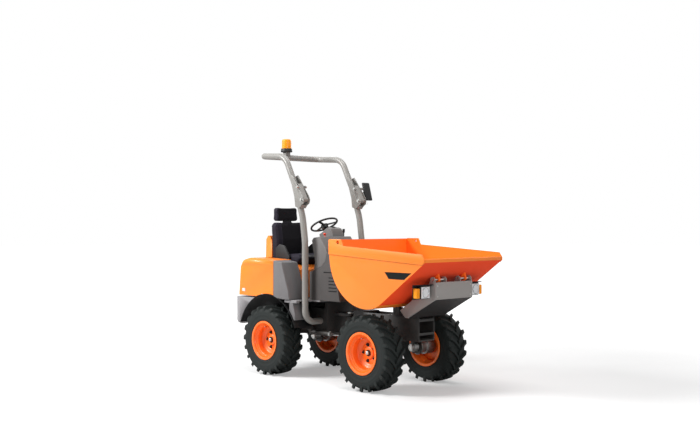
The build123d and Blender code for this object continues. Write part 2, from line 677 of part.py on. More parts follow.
with BuildPart() as nose_box:
    side = [(1095, 752), (1020, 822), (1210, 950), (1395, 1080), (tip_pin[0] - 28, tip_pin[1] - 5),
            (tip_pin[0] + 28, tip_pin[1] - 5), (nose_face, 1115), (nose_face, 957), (front_rail_front, 760), (1130, 752)]
    for ys in both_sides((nose_half_width - chassis_wall, nose_half_width)):
        side_plate(side, ys)
        bar_y(*tip_pin, ys, 28)
    inner_y = nose_half_width - chassis_wall
    slab((1095, front_rail_front), (-inner_y, inner_y), (750, 760))
    slab((1030, 1095), (-front_rail_y - 40, front_rail_y + 40), (750, 760))
    side_plate([(front_rail_front, 750), (front_rail_front, 760), (nose_face, 967), (nose_face, 957)], (-inner_y, inner_y))
    slab((nose_face - chassis_wall, nose_face), (-inner_y, inner_y), (957, 1125))
    for ys in both_sides(ear_inner_y):
        side_plate([(1340, belly(1340) + 4), (1405, 1110), (tip_pin[0] - 28, tip_pin[1] - 5), (tip_pin[0] + 28, tip_pin[1] - 5),
                    (nose_face - 4, 1120), (nose_face - 4, belly(nose_face - 4) + 4)], ys)
        bar_y(*tip_pin, ys, 28)
    for ys in both_sides((ear_inner_y[0], nose_half_width)):
        bar_y(*tip_pin, ys, tip_pin_radius + fit, mode=Mode.SUBTRACT)
save(nose_box, "nose_box")

with BuildPart() as skip_pins:
    for ys in both_sides((ear_inner_y[0], nose_half_width)):
        bar_y(*tip_pin, ys, tip_pin_radius)
save(skip_pins, "skip_pins")

with BuildPart() as lamp_brackets:
    lamp_back = lamp_face - 62
    for side in (-1, 1):
        # top plate narrows outboard
        deck_plate([(lamp_back - 6, side * nose_half_width), (lamp_face + 12, side * nose_half_width),
                    (lamp_face + 2, side * lamp_y[1]), (lamp_face - 18, side * 500), (lamp_back - 6, side * 500)],
                   (lamp_z[1] + 5, lamp_z[1] + 11))
    for ys in both_sides((nose_half_width, 500)):
        slab((lamp_back - 6, lamp_back), ys, (lamp_z[0] - 5, lamp_z[1] + 11))
save(lamp_brackets, "lamp_brackets")

with BuildPart() as headlamps:
    for ys in both_sides(lamp_y):
        slab((lamp_back, lamp_face - 10), ys, lamp_z)
save(headlamps, "headlamps")

with BuildPart() as headlamp_lenses:
    for ys in both_sides((lamp_y[0] + 7, lamp_y[1] - 7)):
        slab((lamp_face - 10, lamp_face), ys, (lamp_z[0] + 7, lamp_z[1] - 7))
save(headlamp_lenses, "headlamp_lenses")

with BuildPart() as indicators:
    for ys in both_sides((lamp_y[1] + 6, 495)):
        slab((lamp_back, lamp_face - 12), ys, (975, 1072))
save(indicators, "indicators")


# ---------------------------------------------------------------- skip
wall_foot = (993.0, 865.0)      # lower end of the straight front wall, outer face
wall_slope = 0.718
lip = (1635.0, 1326.0)
skip_back = 295.0
belly_centre = (840.0, 1385.0)
belly_radius = 545.0


def front_wall(x):
    """Outer face of the skip's sloping front wall."""
    return wall_foot[1] + (x - wall_foot[0]) * wall_slope


def skip_outline(wall):
    """Side view of the skip, drawn as the outer face moved in by a wall thickness."""
    reach = wall * hypot(1, wall_slope)
    foot = belly_centre[1] - belly_radius
    corner_x = wall_foot[0] + (foot - wall_foot[1]) / wall_slope
    with BuildSketch(side_plane(skip_half_width - wall)) as outline:
        with BuildLine():
            top = 1533.0 if not wall else 1700.0
            lip_x = lip[0] - wall
            FilletPolyline((skip_back + wall, top), (skip_back + wall, foot + wall),
                           (corner_x - reach / wall_slope + wall / wall_slope, foot + wall),
                           (lip_x, front_wall(lip_x) + reach), radius=[belly_radius - wall, 366.0])
            if wall:
                Polyline((lip_x, front_wall(lip_x) + reach), (lip_x, 1700), (skip_back + wall, 1700))
            else:
                Polyline((lip_x, front_wall(lip_x)), (lip[0], lip[1] + 32), (1600, 1408), (505, 1472), (470, 1540),
                         (317, 1540), (skip_back, 1533))
        make_face()
    return outline.sketch


with BuildPart() as skip_shell:
    extrude(skip_outline(0), amount=2 * skip_half_width)
    extrude(skip_outline(skip_wall), amount=2 * (skip_half_width - skip_wall), mode=Mode.SUBTRACT)
    for ys in both_sides((skip_half_width, skip_half_width + band_wall)):
        side_plate([(skip_back, 1383), (1612, 1308), (lip[0], 1330), (lip[0], 1358), (1600, 1408), (505, 1472), (470, 1540),
                    (317, 1540), (skip_back, 1533)], ys)
    bar_y(436, 1510, (-700, 700), 12, mode=Mode.SUBTRACT)
save(skip_shell, "skip_shell")


def wall_point(along, out):
    """Side-view point measured up the front wall from under the tipping pin, and out from the wall."""
    length = hypot(1, wall_slope)
    foot_x = tip_pin[0]
    return (foot_x + (along + out * wall_slope) / length, front_wall(foot_x) + (along * wall_slope - out) / length)


with BuildPart() as skip_ribs:
    for ys in both_sides(lug_y):
        side_plate([wall_point(-95, 0), wall_point(12, 0), (tip_pin[0] + 24, tip_pin[1] - 8), (tip_pin[0] - 24, tip_pin[1] - 8)],
                   ys)
        bar_y(*tip_pin, ys, 26)
        bar_y(*tip_pin, ys, tip_pin_radius + running, mode=Mode.SUBTRACT)
    for ys in both_sides((50, 62)):
        side_plate([wall_point(-480, 0), wall_point(-190, 0), wall_point(-230, 78), wall_point(-400, 78)], ys)
save(skip_ribs, "skip_ribs")

# ---------------------------------------------------------------- tipping ram and steering ram
ram_length = hypot(ram_eye[0] - ram_foot[0], ram_eye[1] - ram_foot[1])
ram_lean = atan2(ram_eye[1] - ram_foot[1], ram_eye[0] - ram_foot[0])
ram_plane = Plane(origin=(pivot_x + ram_foot[0], 0, ram_foot[1]), x_dir=(0, 1, 0),
                  z_dir=(cos(ram_lean), 0, sin(ram_lean)))
ram_barrel_end = 450.0

with BuildPart() as tip_barrel:
    with BuildSketch(ram_plane.offset(20)) as tube:
        Circle(ram_radius)
    extrude(tube.sketch, amount=ram_barrel_end - 20)
    bar_y(*ram_foot, (-28, 28), 30)
    bar_y(*ram_foot, (-28, 28), 15 + running, mode=Mode.SUBTRACT)
    with BuildSketch(ram_plane.offset(60)) as hollow:
        Circle(ram_rod_radius + running)
    extrude(hollow.sketch, amount=ram_barrel_end, mode=Mode.SUBTRACT)
save(tip_barrel, "tip_barrel")

with BuildPart() as tip_rod:
    with BuildSketch(ram_plane.offset(62)) as rod:
        Circle(ram_rod_radius)
    extrude(rod.sketch, amount=ram_length - 62 - 10)
    bar_y(*ram_eye, (-38, 38), 26)
    bar_y(*ram_eye, (-50 + eye_gap, 50 - eye_gap), 14)
save(tip_rod, "tip_rod")

steer_length = hypot(steer_eye[0] - steer_foot[0], steer_eye[1] - steer_foot[1])
steer_lean = atan2(steer_eye[1] - steer_foot[1], steer_eye[0] - steer_foot[0])
steer_plane = Plane(origin=(pivot_x + steer_foot[0], steer_foot[1], steer_height), x_dir=(0, 0, 1),
                    z_dir=(cos(steer_lean), sin(steer_lean), 0))
steer_barrel_end = 320.0

with BuildPart() as steer_barrel:
    with BuildSketch(steer_plane.offset(18)) as tube:
        Circle(steer_radius)
    extrude(tube.sketch, amount=steer_barrel_end - 18)
    slab((steer_foot[0] - 60, steer_foot[0] + 30), (steer_foot[1] - 60, steer_foot[1] + 60), (steer_height + 17, 600),
         mode=Mode.SUBTRACT)
    slab((steer_foot[0] - 60, steer_foot[0] + 30), (steer_foot[1] - 60, steer_foot[1] + 60), (400, steer_height - 17),
         mode=Mode.SUBTRACT)
    bar_z(*steer_foot, (steer_height - 17, steer_height + 17), 24)
    bar_z(*steer_foot, (steer_height - 17, steer_height + 17), steer_pin_radius + running, mode=Mode.SUBTRACT)
    with BuildSketch(steer_plane.offset(40)) as hollow:
        Circle(steer_rod_radius + running)
    extrude(hollow.sketch, amount=steer_barrel_end, mode=Mode.SUBTRACT)
save(steer_barrel, "steer_barrel")

with BuildPart() as steer_rod:
    with BuildSketch(steer_plane.offset(180)) as rod:
        Circle(steer_rod_radius)
    extrude(rod.sketch, amount=steer_length - 180 - 8)
    bar_z(*steer_eye, (steer_height - 12, steer_height + 12), 22)
    bar_z(*steer_eye, (steer_height - 14, steer_height + 14), 10)
save(steer_rod, "steer_rod")
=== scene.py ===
"""Compact articulated site dumper: the looks of its packed construction model.

Everything is in metres in the model's own frame: +X forward to the skip, +Y to the driver's left,
+Z up, with the origin on the ground. The file is laid out as an add-on and is run as a script.
"""
import json
from math import cos, radians, sin, tau

import bmesh
import bpy
from mathutils import Matrix, Vector


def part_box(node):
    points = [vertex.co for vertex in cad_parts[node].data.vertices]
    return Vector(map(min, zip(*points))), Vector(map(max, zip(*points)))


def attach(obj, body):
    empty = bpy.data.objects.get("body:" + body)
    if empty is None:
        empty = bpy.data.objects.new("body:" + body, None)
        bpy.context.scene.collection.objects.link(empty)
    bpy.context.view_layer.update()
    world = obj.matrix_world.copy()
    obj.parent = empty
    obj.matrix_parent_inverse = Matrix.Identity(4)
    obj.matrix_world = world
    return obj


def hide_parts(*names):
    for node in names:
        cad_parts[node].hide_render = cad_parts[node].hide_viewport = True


bl_info = {
    "name": "Site Dumper",
    "version": (1, 0, 0),
    "blender": (4, 5, 0),
    "location": "3D View > Sidebar > Dumper",
    "description": "Paints and details a compact articulated site dumper",
    "category": "Add Mesh",
}

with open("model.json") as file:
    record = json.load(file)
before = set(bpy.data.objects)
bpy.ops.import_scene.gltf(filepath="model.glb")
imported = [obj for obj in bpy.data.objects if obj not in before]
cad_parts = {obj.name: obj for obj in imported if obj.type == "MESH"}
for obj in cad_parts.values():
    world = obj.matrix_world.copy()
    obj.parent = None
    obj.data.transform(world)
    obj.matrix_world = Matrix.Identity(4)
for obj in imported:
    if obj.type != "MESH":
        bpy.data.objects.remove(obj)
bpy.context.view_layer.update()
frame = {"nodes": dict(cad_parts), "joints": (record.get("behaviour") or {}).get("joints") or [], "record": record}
JOINTS = {joint["name"]: joint for joint in frame["joints"]}
RIGHT, LEFT = -1, 1
HANDS = {"right": RIGHT, "left": LEFT}
MERGE = 1e-5          # points closer than this are one


# ---------------------------------------------------------------- places taken from the frame
def joint_place(name):
    """Where a joint's axis passes."""
    return Vector(JOINTS[name]["pos_m"])


def middle(node):
    """Middle of a node's box."""
    low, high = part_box(node)
    return (low + high) / 2


ARTICULATION = joint_place("articulation")
TIP_PIN = joint_place("skip_tip")
SKIP_WALL = 0.006      # thickness of the skip's sheets
SKIP_BAND = 0.012      # how far the folded band stands out from the side sheet
FRONT_WALL_FOOT = Vector((ARTICULATION.x + 0.993, 0, 0.865))
FRONT_WALL_SLOPE = 0.718
WHEELS = [(end, hand) for end in ("front", "rear") for hand in ("left", "right")]


# ---------------------------------------------------------------- sizes and colours that a user may change
def srgb(*levels):
    """Linear colour from 8-bit display levels."""
    shares = [level / 255 for level in levels]
    return tuple(s / 12.92 if s <= 0.04045 else ((s + 0.055) / 1.055) ** 2.4 for s in shares)


def colour(name, description, *levels):
    """Colour property with its default given as display levels."""
    return bpy.props.FloatVectorProperty(name=name, description=description, subtype="COLOR", size=3,
                                         min=0, max=1, default=srgb(*levels))


def length(name, description, default):
    """Length property in metres."""
    return bpy.props.FloatProperty(name=name, description=description, subtype="DISTANCE", unit="LENGTH",
                                   min=0, default=default)


class DumperColours(bpy.types.PropertyGroup):
    """Colours of the machine's finishes."""
    orange: colour("Orange paint", "Skip, hood and seat box", 250, 132, 38)
    # The skip's inside and underside tones are painted shade: deeper, redder orange for faces that lie in shade.
    skip_inside_painted_shade: colour("Skip inside", "Inner faces of the skip's side sheets", 250, 118, 14)
    skip_underside_painted_shade: colour("Skip underside", "Sloping front wall of the skip, from below", 246, 70, 18)
    wheel_orange: colour("Wheel orange", "Wheel rims and the skip's ribs", 255, 114, 34)
    counterweight_grey: colour("Counterweight grey", "Counterweight and step", 142, 140, 142)
    nose_grey: colour("Nose grey", "Front bumper box", 148, 144, 141)
    hoop_grey: colour("Hoop grey", "Roll posts and folding hoop", 135, 133, 129)
    side_grey: colour("Side grey", "Panels between the hood and the step", 104, 102, 103)
    console_grey: colour("Console grey", "Console under the dash", 69, 66, 65)
    panel_grey: colour("Dash grey", "Dash and instrument pod", 100, 98, 97)
    chassis_black: colour("Chassis black", "Chassis, axles and ram barrels", 38, 37, 37)
    tyre_black: colour("Tyre black", "Rubber of the tyres", 22, 27, 26)
    stripe: colour("Stripe", "Plain dark band on the skip's sides", 20, 26, 27)


class DumperSizes(bpy.types.PropertyGroup):
    """Sizes of the details."""
    lug_count: bpy.props.IntProperty(name="Lugs a side", description="Tread lugs on each half of a tyre",
                                     min=8, max=40, default=20)
    lug_height: length("Lug height", "Height of the tread lugs over the carcass", 0.024)
    lug_width: length("Lug width", "Width of a tread lug at its middle", 0.036)
    stud_size: length("Wheel stud", "Width across the flats of the wheel nuts", 0.024)


# ---------------------------------------------------------------- shader maths
class Socket:
    """An output of a shader node, on which sums are written as Python."""

    def __init__(self, finish, output):
        self.finish, self.output = finish, output

    def maths(self, operation, *values):
        return self.finish.node("ShaderNodeMath", {"operation": operation}, values)

    def __add__(self, other):
        return self.maths("ADD", self, other)

    def __sub__(self, other):
        return self.maths("SUBTRACT", self, other)

    def __rsub__(self, other):
        return self.maths("SUBTRACT", other, self)

    def __mul__(self, other):
        return self.maths("MULTIPLY", self, other)

    __radd__ = __add__
    __rmul__ = __mul__

    def over(self, edge, blur):
        """0 below an edge and 1 above it, with a soft step."""
        return self.finish.node("ShaderNodeMapRange", {"interpolation_type": "SMOOTHSTEP"},
                                {0: self, 1: edge - blur, 2: edge + blur, 3: 0, 4: 1})

    def unsigned(self):
        return self.maths("ABSOLUTE", self)


class Finish:
    """A material, with one method that makes every node."""

    def __init__(self, name, **fixed):
        self.material = bpy.data.materials.new(name)
        self.material.use_nodes = True
        self.tree = self.material.node_tree
        self.shader = self.tree.nodes["Principled BSDF"]
        for socket, value in fixed.items():
            self.shader.inputs[socket.replace("_", " ").title().replace("Ior", "IOR")].default_value = value
        self.place = self.node("ShaderNodeTexCoord", out="Object")

    def node(self, kind, settings=None, values=(), out=0):
        made = self.tree.nodes.new(kind)
        for key, value in (settings or {}).items():
            setattr(made, key, value)
        for key, value in values.items() if isinstance(values, dict) else enumerate(values):
            if isinstance(value, Socket):
                self.tree.links.new(value.output, made.inputs[key])
            else:
                made.inputs[key].default_value = value
        return Socket(self, made.outputs[out])

    def grain(self, scale, detail=3, roughness=0.5):
        """Even noise from 0 to 1."""
        return self.node("ShaderNodeTexNoise", None,
                         {"Vector": self.place, "Scale": scale, "Detail": detail, "Roughness": roughness},
                         "Fac")

    def cells(self, scale, settings=None, out="Distance"):
        """Distance to the nearest of scattered points."""
        return self.node("ShaderNodeTexVoronoi", settings, {"Vector": self.place, "Scale": scale}, out)

    def across(self, axis):
        """One coordinate of the place, in metres."""
        return self.node("ShaderNodeSeparateXYZ", None, [self.place], axis)

    def mix(self, share, first, second):
        """Colour between two colours."""
        ends = [value if isinstance(value, Socket) else (*value[:3], 1) for value in (first, second)]
        return self.node("ShaderNodeMix", {"data_type": "RGBA"}, {0: share, 6: ends[0], 7: ends[1]}, 2)

    def feed(self, **sockets):
        """Link values to the shader's own sockets."""
        for name, value in sockets.items():
            self.tree.links.new(value.output, self.shader.inputs[name.replace("_", " ").title()])

    def relief(self, height, depth, strength=1.0):
        """Bump the surface by a height from 0 to 1 that is depth metres deep."""
        bump = self.node("ShaderNodeBump", None, {"Height": height, "Distance": depth, "Strength": strength})
        self.feed(normal=bump)


def shade(tone, factor):
    """A colour made lighter or darker."""
    return tuple(min(1.0, level * factor) for level in tone[:3])


def colours():
    return bpy.context.scene.dumper_colours


def sizes():
    return bpy.context.scene.dumper_sizes


def paint(name, tone, roughness, coat, peel=0.00012, dust=0.0, shine=0.35):
    """Sprayed paint: faint orange peel, slightly uneven gloss and a trace of dust low down."""
    finish = Finish(name, coat_weight=coat, coat_roughness=0.15, specular_ior_level=shine)
    drift = finish.grain(2.2, 4)
    speck = finish.grain(45, 3)
    low = 1 - finish.across("Z").over(0.45, 0.5)
    dusty = (low * speck.over(0.5, 0.2)) * dust
    toned = finish.mix(drift, shade(tone, 0.93), shade(tone, 1.06))
    finish.feed(base_color=finish.mix(dusty, toned, srgb(176, 160, 138)),
                roughness=roughness + (speck - 0.5) * 0.12 + dusty * 0.4)
    finish.relief(finish.grain(260, 2), peel)
    return finish.material


def skip_paint(name, tone):
    """Orange paint of the skip, with painted shade: deeper and redder inside its side sheets and under its front
    wall, and matt there.
    """
    finish = Finish(name, coat_roughness=0.15, specular_ior_level=0.35)
    drift, speck = finish.grain(2.2, 4), finish.grain(45, 3)
    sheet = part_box("skip_shell")[1].y - SKIP_BAND
    x, z = finish.across("X"), finish.across("Z")
    reach = finish.across("Y").unsigned()
    outside = reach.over(sheet - SKIP_WALL / 2, 0.001)
    # inside: inner faces of the side sheets, which take the painted shade tone
    inside = reach.over(sheet - 2 * SKIP_WALL, 0.001) * (1 - outside)
    rise = z - x * FRONT_WALL_SLOPE
    wall = FRONT_WALL_FOOT.z - FRONT_WALL_FOOT.x * FRONT_WALL_SLOPE + SKIP_WALL / 2
    # under: outer face of the sloping front wall, which takes the painted shade tone from its foot forward
    under = (1 - rise.over(wall, 0.001)) * x.over(FRONT_WALL_FOOT.x, 0.04) * (1 - outside)
    toned = finish.mix(inside, finish.mix(drift, shade(tone, 0.93), shade(tone, 1.06)), colours().skip_inside_painted_shade)
    matt = inside + under
    finish.feed(base_color=finish.mix(under, toned, colours().skip_underside_painted_shade),
                roughness=0.42 + (speck - 0.5) * 0.12 + matt * 0.42, coat_weight=(1 - matt) * 0.12)
    finish.relief(finish.grain(260, 2), 0.00012)
    return finish.material


def plastic(name, tone, grain_scale, grain_depth, roughness):
    """Moulded plastic with a leathery grain."""
    finish = Finish(name, specular_ior_level=0.35)
    cells = finish.cells(grain_scale)
    haze = finish.grain(6, 4)
    finish.feed(base_color=finish.mix(haze, shade(tone, 0.88), shade(tone, 1.12)),
                roughness=roughness + (haze - 0.5) * 0.16)
    finish.relief(cells, grain_depth)
    return finish.material


def rubber(name, tone):
    """Tyre rubber: matt, dusty between the lugs, with fine mould grain."""
    finish = Finish(name, specular_ior_level=0.28)
    patch = finish.grain(7, 5, 0.6)
    speck = finish.grain(150, 3)
    chalk = patch.over(0.56, 0.2) * 0.4 + speck.over(0.6, 0.2) * 0.1
    finish.feed(base_color=finish.mix(chalk, tone, shade(tone, 1.6)), roughness=0.72 + (patch - 0.5) * 0.25)
    finish.relief(speck, 0.0006)
    return finish.material


def metal(name, tone, roughness, scratches=0.15):
    """Bare metal with fine uneven polish."""
    finish = Finish(name, metallic=1.0)
    streak = finish.grain(60, 5, 0.7)
    finish.feed(base_color=finish.mix(streak, shade(tone, 0.8), shade(tone, 1.1)),
                roughness=roughness + (streak - 0.5) * scratches)
    finish.relief(finish.grain(300, 2), 0.0001)
    return finish.material


def seat_vinyl(name, tone):
    """Black seat cover with a pebbled grain and faint wear; its side bolsters are lighter in the given tone, a
    painted highlight.
    """
    bolster_start = 0.137
    finish = Finish(name, specular_ior_level=0.1)
    pebble = finish.cells(560)
    wear = finish.grain(9, 5, 0.6)
    # painted highlight: the side bolsters take the lighter tone
    bolster = finish.across("Y").unsigned().over(bolster_start, 0.002)
    panel = finish.mix(wear, srgb(9, 8, 10), srgb(21, 19, 24))
    finish.feed(base_color=finish.mix(bolster, panel, tone), roughness=0.6 + (wear - 0.5) * 0.3)
    finish.relief(pebble, 0.0005)
    return finish.material


def lens(name, tone, glow, roughness):
    """Ribbed lamp plastic, lit a little from inside."""
    finish = Finish(name, roughness=roughness, coat_weight=0.1, specular_ior_level=0.3,
                    emission_strength=glow)
    band = finish.grain(40, 2)
    finish.feed(base_color=finish.mix(band, shade(tone, 0.8), tone),
                emission_color=finish.mix(band, tone, tone))
    return finish.material


def tread_plate(name, tone):
    """Grey painted step plate with raised diamonds."""
    finish = Finish(name)
    raised = finish.cells(46, {"distance": "MANHATTAN"})
    bars = 1 - raised.over(0.26, 0.05)
    finish.feed(base_color=finish.mix(bars, shade(tone, 0.72), shade(tone, 1.15)),
                roughness=0.5 - bars * 0.12)
    finish.relief(bars, 0.0016)
    return finish.material


PANEL_GRAIN = dict(grain_scale=420, grain_depth=0.0004)

# finish: a slot name of the record, its maker, its colour, and what else the maker takes;
# a colour in quotes is one of the colours that a user may change
FINISHES = {
    "orange paint": ("orange_paint", paint, "orange", dict(roughness=0.42, coat=0.12, dust=0.04)),
    "skip paint": ("orange_paint", skip_paint, "orange", {}),
    "wheel orange paint": ("orange_paint", paint, "wheel_orange", dict(roughness=0.34, coat=0.2, dust=0.03)),
    "counterweight grey paint": ("frame_grey", paint, "counterweight_grey",
                                 dict(roughness=0.5, coat=0.1, peel=0.0002, dust=0.10)),
    "nose grey paint": ("frame_grey", paint, "nose_grey",
                        dict(roughness=0.46, coat=0.1, peel=0.0002, dust=0.06)),
    "hoop grey paint": ("frame_grey", paint, "hoop_grey", dict(roughness=0.4, coat=0.2)),
    "step plate": ("frame_grey", tread_plate, "counterweight_grey", {}),
    "chassis black paint": ("chassis_paint", paint, "chassis_black",
                            dict(roughness=0.5, coat=0.08, peel=0.0002, dust=0.10)),
    # black paint of the wheel nuts, also laid under the nose as painted shade
    "black underside paint": ("chassis_paint", paint, srgb(32, 30, 30),
                              dict(roughness=0.6, coat=0.03, peel=0.0002, dust=0.05)),
    "black cast block": ("chassis_paint", paint, srgb(34, 34, 35),
                         dict(roughness=0.6, coat=0.0, peel=0.0006, dust=0.1)),
    "stripe film": ("black_plastic", paint, "stripe", dict(roughness=0.6, coat=0.0, shine=0.08)),
    "white film": ("black_plastic", paint, srgb(205, 203, 200), dict(roughness=0.5, coat=0.05)),
    "grey moulded plastic": ("panel_grey", plastic, "panel_grey", PANEL_GRAIN | dict(roughness=0.52)),
    "console plastic": ("panel_grey", plastic, "console_grey", PANEL_GRAIN | dict(roughness=0.55)),
    "side panel plastic": ("panel_grey", plastic, "side_grey", PANEL_GRAIN | dict(roughness=0.5)),
    "black moulded plastic": ("black_plastic", plastic, srgb(17, 17, 18),
                              dict(grain_scale=500, grain_depth=0.0003, roughness=0.5)),
    # dark mesh behind the hood's louvres; in the console's slots it is painted shade
    "dark mesh behind the louvres": ("black_plastic", plastic, srgb(14, 14, 15),
                                     dict(grain_scale=300, grain_depth=0.0005, roughness=0.8)),
    "red knob plastic": ("red_lens", plastic, srgb(214, 62, 30),
                         dict(grain_scale=500, grain_depth=0.0001, roughness=0.35)),
    "dial face": ("black_plastic", plastic, srgb(46, 48, 50),
                  dict(grain_scale=900, grain_depth=0.0001, roughness=0.2)),
    "tyre rubber": ("tyre", rubber, "tyre_black", {}),
    "mat rubber": ("tyre", rubber, srgb(30, 30, 31), {}),
    # dark brown strip under the skip's folded band: painted shadow
    "joint sealer": ("black_plastic", rubber, srgb(120, 60, 26), {}),
    # the tone is the painted highlight on the seat's side bolsters
    "black seat vinyl": ("seat_vinyl", seat_vinyl, srgb(36, 33, 42), {}),
    "zinc plated steel": ("steel", metal, (0.62, 0.62, 0.60), dict(roughness=0.32)),
    "cast motor housing": ("steel", metal, (0.34, 0.34, 0.33), dict(roughness=0.5, scratches=0.25)),
    "chromed rod": ("rod_chrome", metal, (0.82, 0.82, 0.83), dict(roughness=0.08, scratches=0.04)),
    "mirror glass": ("rod_chrome", metal, (0.86, 0.88, 0.9), dict(roughness=0.03, scratches=0.01)),
    "amber lens": ("amber_lens", lens, srgb(240, 148, 0), dict(glow=0.12, roughness=0.3)),
    "red lens": ("red_lens", lens, srgb(190, 20, 16), dict(glow=0.15, roughness=0.14)),
    "lamp glass": ("clear_lens", lens, srgb(214, 216, 218), dict(glow=0.1, roughness=0.06)),
}
MADE = {}


def finished(name):
    """The material of a finish, made once."""
    if name not in MADE:
        maker, tone, settings = FINISHES[name][1:]
        MADE[name] = maker(name, getattr(colours(), tone) if isinstance(tone, str) else tone, **settings)
    return MADE[name]


# ---------------------------------------------------------------- mesh helpers
def axis_frame(centre, axis):
    """Frame at a centre whose Z is a given axis."""
    return Matrix.Translation(centre) @ Vector(axis).to_track_quat("Z", "X").to_matrix().to_4x4()


def block(work, low, high):
    """Add a box between two corners, whichever of them is lower."""
    spans = [sorted(pair) for pair in zip(low, high)]
    low, high = Vector([span[0] for span in spans]), Vector([span[1] for span in spans])
    size = Matrix.Diagonal((*(high - low), 1))
    return bmesh.ops.create_cube(work, size=1, matrix=Matrix.Translation((low + high) / 2) @ size)["verts"]


def rod(work, start, end, radius, sides=32):
    """Add a bar from one point to another, round or with a few flat sides."""
    start, end = Vector(start), Vector(end)
    return bmesh.ops.create_cone(work, cap_ends=True, segments=sides, radius1=radius, radius2=radius,
                                 depth=(end - start).length,
                                 matrix=axis_frame((start + end) / 2, end - start))["verts"]


def lathe(work, profile, place, steps=64):
    """Turn a profile of (radius, along the axis) about the Z of a place.

    A profile that starts on the axis is solid or a cap. Any other is a ring and closes on itself.
    """
    verts = [work.verts.new((radius, 0, along)) for radius, along in profile]
    is_ring = profile[0][0] > 0
    pairs = list(zip(verts, verts[1:])) + ([(verts[-1], verts[0])] if is_ring else [])
    edges = [work.edges.new(pair) for pair in pairs]
    known = set(work.verts) - set(verts)
    bmesh.ops.spin(work, geom=verts + edges, cent=(0, 0, 0), axis=(0, 0, 1), angle=tau, steps=steps,
                   use_merge=True)
    made = [vert for vert in work.verts if vert not in known]
    bmesh.ops.remove_doubles(work, verts=made, dist=MERGE)
    made = [vert for vert in work.verts if vert not in known]
    faces = list({face for vert in made for face in vert.link_faces})
    bmesh.ops.recalc_face_normals(work, faces=faces)
    bmesh.ops.transform(work, matrix=place, verts=made)
    return made


def rounded(work, verts, width, segments=3, sharp=30):
    """Bevel the sharp edges among some vertices."""
    chosen = set(verts)
    edges = [edge for edge in {e for vert in verts for e in vert.link_edges}
             if edge.verts[0] in chosen and edge.verts[1] in chosen and edge.is_manifold
             and edge.calc_face_angle() > radians(sharp)]
    edges.sort(key=lambda edge: edge.index)
    bmesh.ops.bevel(work, geom=edges, offset=width, offset_type="OFFSET", segments=segments, profile=0.5,
                    affect="EDGES", clamp_overlap=True, material=-1)


def soft_block(work, low, high, width, segments=2):
    """Add a box with rounded edges."""
    rounded(work, block(work, low, high), width, segments)


def plate(work, outline, near, far):
    """Add a flat plate with a side-view outline of (x, z) points, between two y stations."""
    verts = [work.verts.new((x, near, z)) for x, z in outline]
    face = work.faces.new(verts)
    pushed = bmesh.ops.extrude_face_region(work, geom=[face])["geom"]
    moved = [item for item in pushed if isinstance(item, bmesh.types.BMVert)]
    bmesh.ops.translate(work, verts=moved, vec=(0, far - near, 0))
    both = verts + moved
    bmesh.ops.recalc_face_normals(work, faces=list({f for vert in both for f in vert.link_faces}))
    return both


def bolt_heads(work, points, axis, size, washer=True):
    """Add hexagon heads on washers, standing out along an axis."""
    axis = Vector(axis).normalized()
    for point in points:
        point = Vector(point)
        if washer:
            rod(work, point, point + axis * size * 0.12, size * 0.8, 20)
        rod(work, point, point + axis * size * 0.62, size * 0.577, 6)


def piece(work, name, body, finish, stands_for=(), sharp=35):
    """Turn finished mesh work into an object that rides on a body."""
    mesh = bpy.data.meshes.new(name)
    for face in work.faces:
        face.smooth = True
    work.to_mesh(mesh)
    work.free()
    mesh.set_sharp_from_angle(angle=radians(sharp))
    mesh.materials.append(finished(finish))
    made = bpy.data.objects.new(name, mesh)
    bpy.context.scene.collection.objects.link(made)
    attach(made, body)
    if stands_for:
        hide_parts(*stands_for)
    return made


def body_of(node):
    """The body that carries a CAD node."""
    return next(body for body, nodes in frame["record"]["behaviour"]["bodies"].items() if node in nodes)


def softened(node, finish, width=0, segments=2, sharp=40, shortest=None, clamp=False):
    """A copy of a CAD node with its long sharp edges rounded, which stands for the node."""
    work = bmesh.new()
    work.from_mesh(frame["nodes"][node].data)
    bmesh.ops.remove_doubles(work, verts=work.verts, dist=MERGE)
    bmesh.ops.dissolve_limit(work, angle_limit=radians(0.5), verts=work.verts, edges=work.edges)
    shortest = 2.5 * width if shortest is None else shortest
    edges = [edge for edge in work.edges if edge.is_manifold and edge.calc_face_angle() > radians(sharp)
             and edge.calc_length() > shortest]
    if width:
        bmesh.ops.bevel(work, geom=edges, offset=width, offset_type="OFFSET", segments=segments, profile=0.5,
                        affect="EDGES", clamp_overlap=clamp, material=-1)
    return piece(work, node + "_skin", body_of(node), finish, [node])


def painted(node, finish):
    """Give a CAD node that keeps its own shape its finish."""
    mesh = frame["nodes"][node].data
    mesh.materials.clear()
    mesh.materials.append(finished(finish))


# ---------------------------------------------------------------- operators
class DumperStep(bpy.types.Operator):
    """Base of the operators that build the machine."""
    bl_options = {"REGISTER"}

    def execute(self, context):
        self.build(context)
        return {"FINISHED"}


